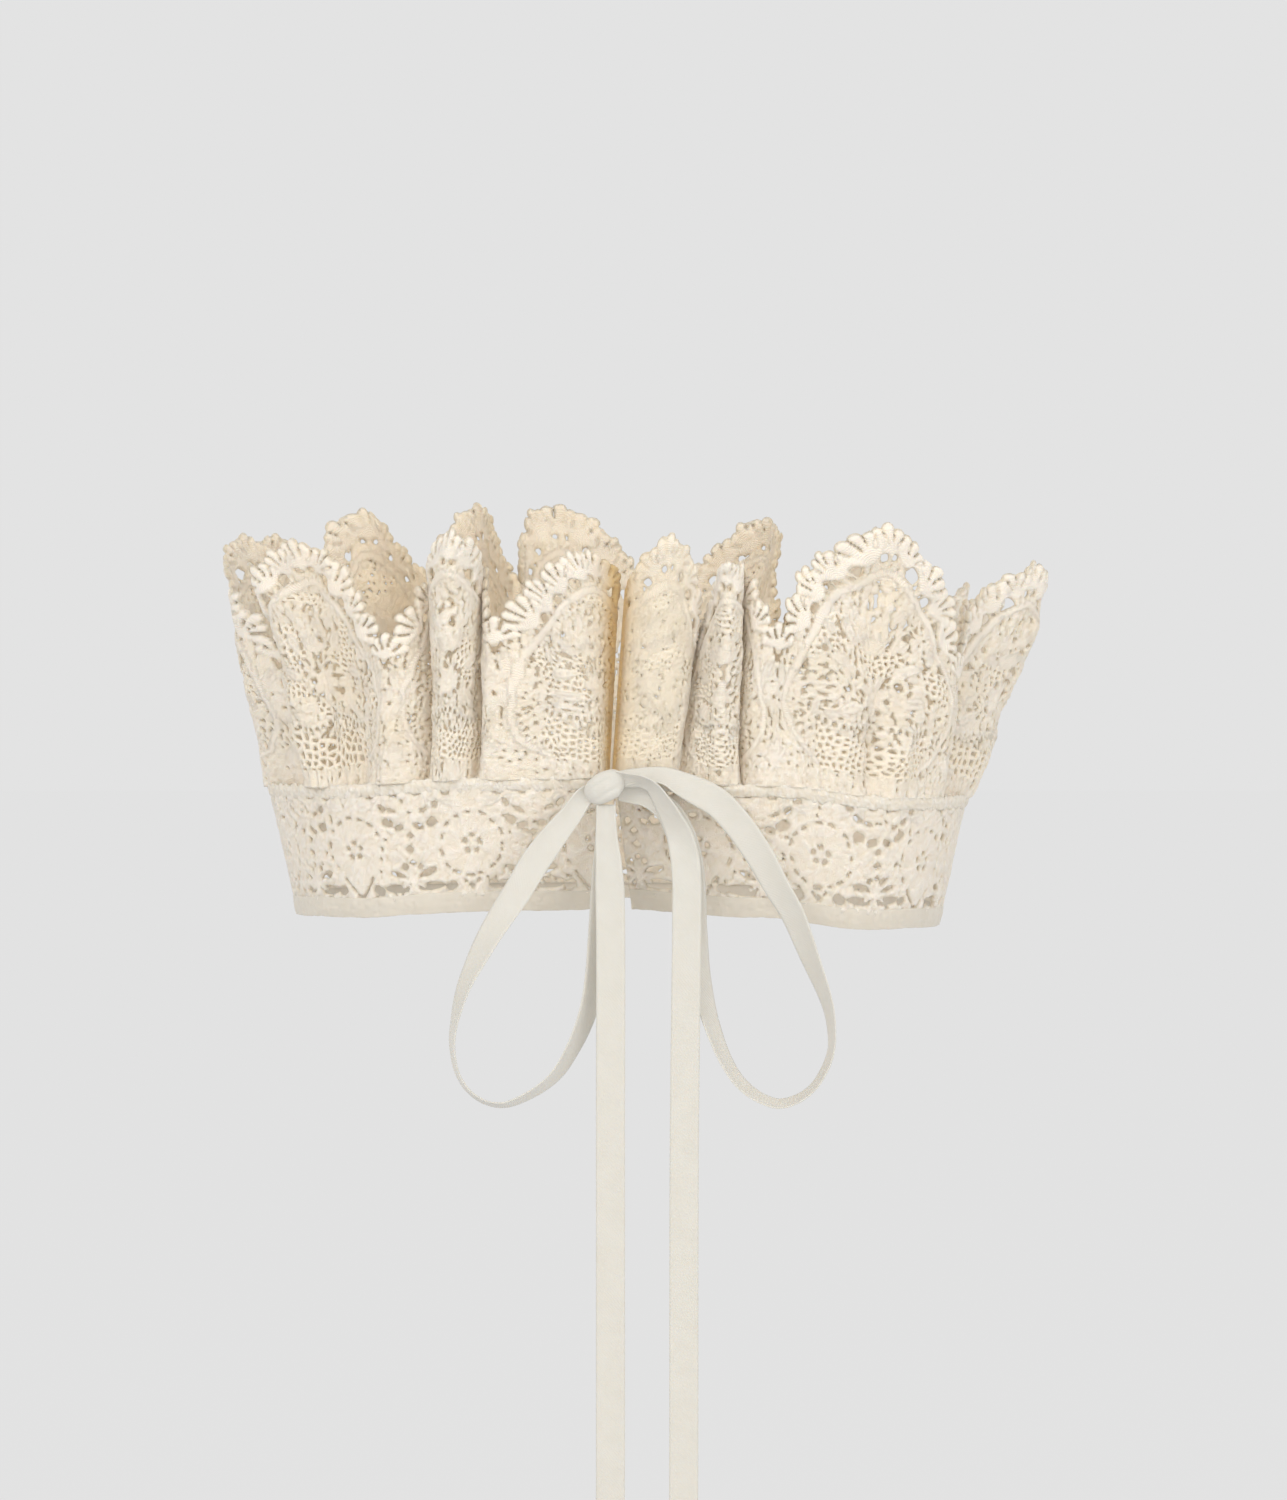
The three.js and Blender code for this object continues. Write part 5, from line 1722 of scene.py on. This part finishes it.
def strip(name: str, grid: Array, thickness: float) -> Piece:
    """A strip of cloth through a grid of middle points, made solid by modifiers.

    Args:
        name: the piece's name.
        grid: points in millimetres, place by height.
        thickness: the cloth's thickness.

    Returns:
        The closed piece with its UV map.
    """
    piece = new_mesh_object(name, grid.reshape(-1, 3) * MM, [grid_quads(*grid.shape[:2])[:, ::-1]])
    along, up = lengths_along(grid[:, 0]), lengths_along(grid[0])
    give_uv(piece, np.stack(np.meshgrid(along, up, indexing="ij"), axis=-1).reshape(-1, 2))
    select_only(piece)
    bpy.ops.object.modifier_add(type="SOLIDIFY")
    solid = piece.modifiers[-1]
    solid.thickness = thickness * MM
    solid.offset = 0.0
    bpy.ops.object.modifier_apply(modifier=solid.name)
    bpy.ops.object.modifier_add(type="BEVEL")
    bevel = piece.modifiers[-1]
    bevel.width = 0.3 * thickness * MM
    bevel.segments = 2
    bevel.limit_method = "ANGLE"
    bpy.ops.object.modifier_apply(modifier=bevel.name)
    bpy.ops.object.shade_smooth_by_angle(angle=math.radians(50))
    piece.select_set(False)
    return piece


# ---- Lace pieces -------------------------------------------------


@dataclass
class Ruffle:
    """The gathered ruffle of scalloped lace, in pieces that meet at its back and in two side folds.

    Attributes:
        front_grid: distance between the mesh's points in front.
        side_folds: rows of the fold table where the front pieces end.
        plain_length: length at the right front end whose relief is low.
        valley_painted_shade: how strongly a darker, warmer tone is painted into the valleys as shade;
            opening_painted_shade does the same near the two front ends.
        net_share: share of the flat cloth that lies inside the scalloped edge; not used.
    """

    surface: RuffleSurface = field(default_factory=RuffleSurface)
    pattern: ScallopPattern = field(default_factory=ScallopPattern)
    front_grid: float = 0.385
    back_grid: float = 0.6
    side_folds: tuple[int, int] = (15, 44)
    plain_length: float = 21.0
    valley_painted_shade: float = 0.5
    opening_painted_shade: float = 0.8
    net_share: float = 0.66

    def build(self, material: Material) -> None:
        """Makes the four pieces."""
        left_fold, right_fold = (self.surface.length_at(row) for row in self.side_folds)
        parts = (
            ("ruffle_left_front", 0.0, left_fold, "ruffle_left", self.front_grid),
            ("ruffle_left_back", left_fold, self.surface.back, "ruffle_left", self.back_grid),
            ("ruffle_right_back", self.surface.back, right_fold, "ruffle_right", self.back_grid),
            ("ruffle_right_front", right_fold, self.surface.total, "ruffle_right", self.front_grid),
        )
        for name, start, end, node, grid in parts:
            piece = self._part(name, start, end, grid)
            piece.data.materials.append(material)
            finish_piece(piece, "lace", node)

    def _part(self, name: str, start: float, end: float, grid: float) -> Piece:
        """Works the lace between two lengths of the edge, and lays it on the folded surface."""
        along = np.linspace(start, end, int(round((end - start) / grid)) + 1)
        up = np.arange(0.0, SCALLOP_HEIGHT + 2.2, grid)
        place = self.surface.pattern_place(along)
        x, y = np.meshgrid(place, up, indexing="ij")
        x += drift(x, y, ((1.5, 27.0, 31), (0.5, 11.0, 32), (0.2, 4.6, 33)))
        raised = np.clip(y / 10, 0, 1)
        y += drift(x, y, ((1.0, 23.0, 35), (0.4, 9.0, 36))) * raised
        y += drift(x, y, ((0.16, 4.4, 37),))
        y = np.where(up[None, :] < 0.5, np.maximum(y, 0.0), y)
        whole = LaceField(x, y)
        tiles = np.floor(x / SCALLOP_LENGTH).astype(int)
        work_repeats(whole, tiles, x - (tiles + 0.5) * SCALLOP_LENGTH, self.pattern.work)
        from_end = self.surface.total - along
        plain = 1.0 / (1.0 + np.exp((from_end[:, None] - self.plain_length) / 1.5))
        whole.height *= 1.0 - 0.6 * plain
        whole.inside += 0.16 * plain
        whole.height *= 0.88 + 0.2 * soft_noise(x, y, 15.0, 39)
        self._finish_ends(whole, along, up)
        whole.inside[:, -1] = -1.0
        # Painted shade: a darker, warmer tone for the depth of the valleys, and near the two front ends,
        # where the front opening lies in shade.
        opening = self.opening_painted_shade * bell(np.minimum(along, from_end), 7.5)
        depth = self.valley_painted_shade * self.surface.depth(along) + opening
        return LaceShell(self.surface.at).build(name, along, up, whole, depth)

    def _finish_ends(self, lace: LaceField, along: Array, up: Array) -> None:
        """A narrow rolled hem along each front end of the ruffle."""
        local = np.mod(self.surface.pattern_place(along), SCALLOP_LENGTH) - SCALLOP_LENGTH / 2
        below = scallop_edge(local)[:, None] - 2.0 - up[None, :]
        from_end = np.minimum(along, self.surface.total - along)[:, None]
        rim = np.minimum(1.3 - from_end, below)
        hem = np.where(rim > 0, 0.5 * LaceField.round_off(np.minimum(from_end, rim), 0.6), 0.0)
        lace.inside = np.maximum(lace.inside, rim)
        lace.height = np.maximum(lace.height, hem)


@dataclass
class Band:
    """The band of medallion lace, from the hem tape to the gathering seam."""

    surface: BandSurface = field(default_factory=BandSurface)
    pattern: MedallionPattern = field(default_factory=MedallionPattern)
    grid: float = 0.43
    hem_step: float = 0.56
    seam_step: float = 0.3
    overlap: float = 0.6

    def build(self, lace: Material, tape: Material) -> None:
        """Makes the lace, the hem tape and the seam cord of each half."""
        halves = (("left", 0.0, self.surface.middle), ("right", self.surface.middle, self.surface.length))
        for side, start, end in halves:
            piece = self._lace(f"band_{side}", start, end)
            piece.data.materials.append(lace)
            finish_piece(piece, "lace", f"lace_band_{side}")
            hem = self._hem(f"hem_{side}", start, end)
            hem.data.materials.append(tape)
            finish_piece(hem, "tape", f"hem_tape_{side}")
            seam = self._seam(f"seam_{side}", start, end)
            seam.data.materials.append(lace)
            finish_piece(seam, "lace", f"seam_cord_{side}")

    def _lace(self, name: str, start: float, end: float) -> Piece:
        """Works the medallion lace between two places on the band."""
        along = np.linspace(start, end, int(round((end - start) / self.grid)) + 1)
        low = TAPE_HEIGHT - self.overlap
        up = np.linspace(low, BAND_HEIGHT, int(round((BAND_HEIGHT - low) / self.grid)))
        x, y = np.meshgrid(along, up, indexing="ij")
        x += drift(x, y, ((0.22, 15.0, 41), (0.09, 3.4, 43)))
        y += drift(x, y, ((0.16, 13.0, 45), (0.08, 3.1, 47)))
        repeat = self.surface.repeat
        tiles = np.round((x - FIRST_MEDALLION) / repeat).astype(int)
        whole = LaceField(x, y)
        work_repeats(whole, tiles, x - FIRST_MEDALLION - tiles * repeat,
                     lambda part, number: self.pattern.work(part, repeat, number))
        from_end = np.minimum(along, self.surface.length - along)[:, None]
        whole.inside = np.maximum(whole.inside, 1.0 - from_end)
        whole.inside[:, 0] = 0.5
        return LaceShell(self.surface.at, core=0.28).build(name, along, up, whole, np.zeros(len(along)))

    def _hem(self, name: str, start: float, end: float) -> Piece:
        """The tape along the hem, worked over with low leaves and a little uneven along its lower edge."""
        along = np.linspace(start, end, int((end - start) / self.hem_step))
        up = np.linspace(0.0, TAPE_HEIGHT + 0.2, 10)
        place, height = np.meshgrid(along, up, indexing="ij")
        work = LaceField(place, height)

        def lying(x: Array, y: Array) -> Array:
            """Leaves that mostly lie along the tape."""
            return 0.9 * soft_noise(x, y, 5.0, 55)

        work.leafage(np.ones(place.shape, dtype=bool), lying, 1.8, 2.0, -0.6, 0.42, 0.85, 57)
        out = 0.3 + 0.16 * soft_noise(place, height, 9.0, 51) + 0.2 * np.sin(math.pi * height / TAPE_HEIGHT)
        out = out + work.height - 0.2
        height = height + 0.14 * soft_noise(place, height, 14.0, 53)
        return strip(name, self.surface.at(place, height, out), 0.8)

    def _seam(self, name: str, start: float, end: float) -> Piece:
        """The gathered join of band and ruffle, worked over with the lace's leaves and tucked unevenly."""
        along = np.linspace(start, end, int((end - start) / self.seam_step))
        turns = np.linspace(0, math.tau, 17)[:-1]
        place, turn = np.meshgrid(along, turns, indexing="ij")
        phase = math.tau * place / 3.1 + 3.0 * soft_noise(place, turn * 0.0, 9.0, 61)
        tuck = 0.10 * np.sin(phase + 1.1 * np.cos(turn)) + 0.16 * soft_noise(place, turn * 1.5, 3.0, 63)
        work = LaceField(place, 1.2 * turn)

        def standing(x: Array, y: Array) -> Array:
            """Leaves that cross the join."""
            return math.pi / 2 + 0.7 * soft_noise(x, y, 6.0, 65)

        work.leafage(np.ones(place.shape, dtype=bool), standing, 1.6, 1.8, -0.6, 0.46, 0.9, 55)
        half_height = 1.3 * (1 + tuck) + 1.3 * work.height - 0.3
        half_out = 0.42 * (1 + tuck) + 0.9 * work.height - 0.25
        height = BAND_HEIGHT - self.overlap + half_height * np.sin(turn)
        out = 0.35 if "left" in name else 0.6
        points = self.surface.at(place, height, out + half_out * np.cos(turn))
        columns, rows = place.shape
        number = np.arange(columns * rows).reshape(columns, rows)
        after = np.roll(number, -1, axis=1)
        quads = np.stack([number[:-1], after[:-1], after[1:], number[1:]], axis=-1).reshape(-1, 4)
        caps = [number[0][::-1][None, :], number[-1][None, :]]
        piece = new_mesh_object(name, points.reshape(-1, 3) * MM, [quads] + caps)
        give_uv(piece, np.column_stack([place.ravel(), turn.ravel()]))
        # The relief drives the material's painted shade in the low places. No fold shade is painted on the
        # seam.
        give_attribute(piece, "relief", work.height.ravel())
        give_attribute(piece, "stitch", work.stitch.ravel())
        give_attribute(piece, "painted_fold_shade", np.zeros(place.size))
        face_outwards(piece)
        return piece


# ---- Assembly ----------------------------------------------------


def main() -> None:
    """Builds the studio, the bow and the collar round the frame."""
    logging.basicConfig(level=logging.INFO, format="%(name)s: %(message)s")
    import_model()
    Studio().build()
    Bow().build()
    cotton = LaceCotton().make()
    tape = WovenCotton("tape_cotton", (223, 216, 203), (213, 204, 188), pitch=0.4, bump=0.35).make()
    Ruffle().build(cotton)
    Band().build(cotton, tape)


if __name__ == "__main__":
    main()
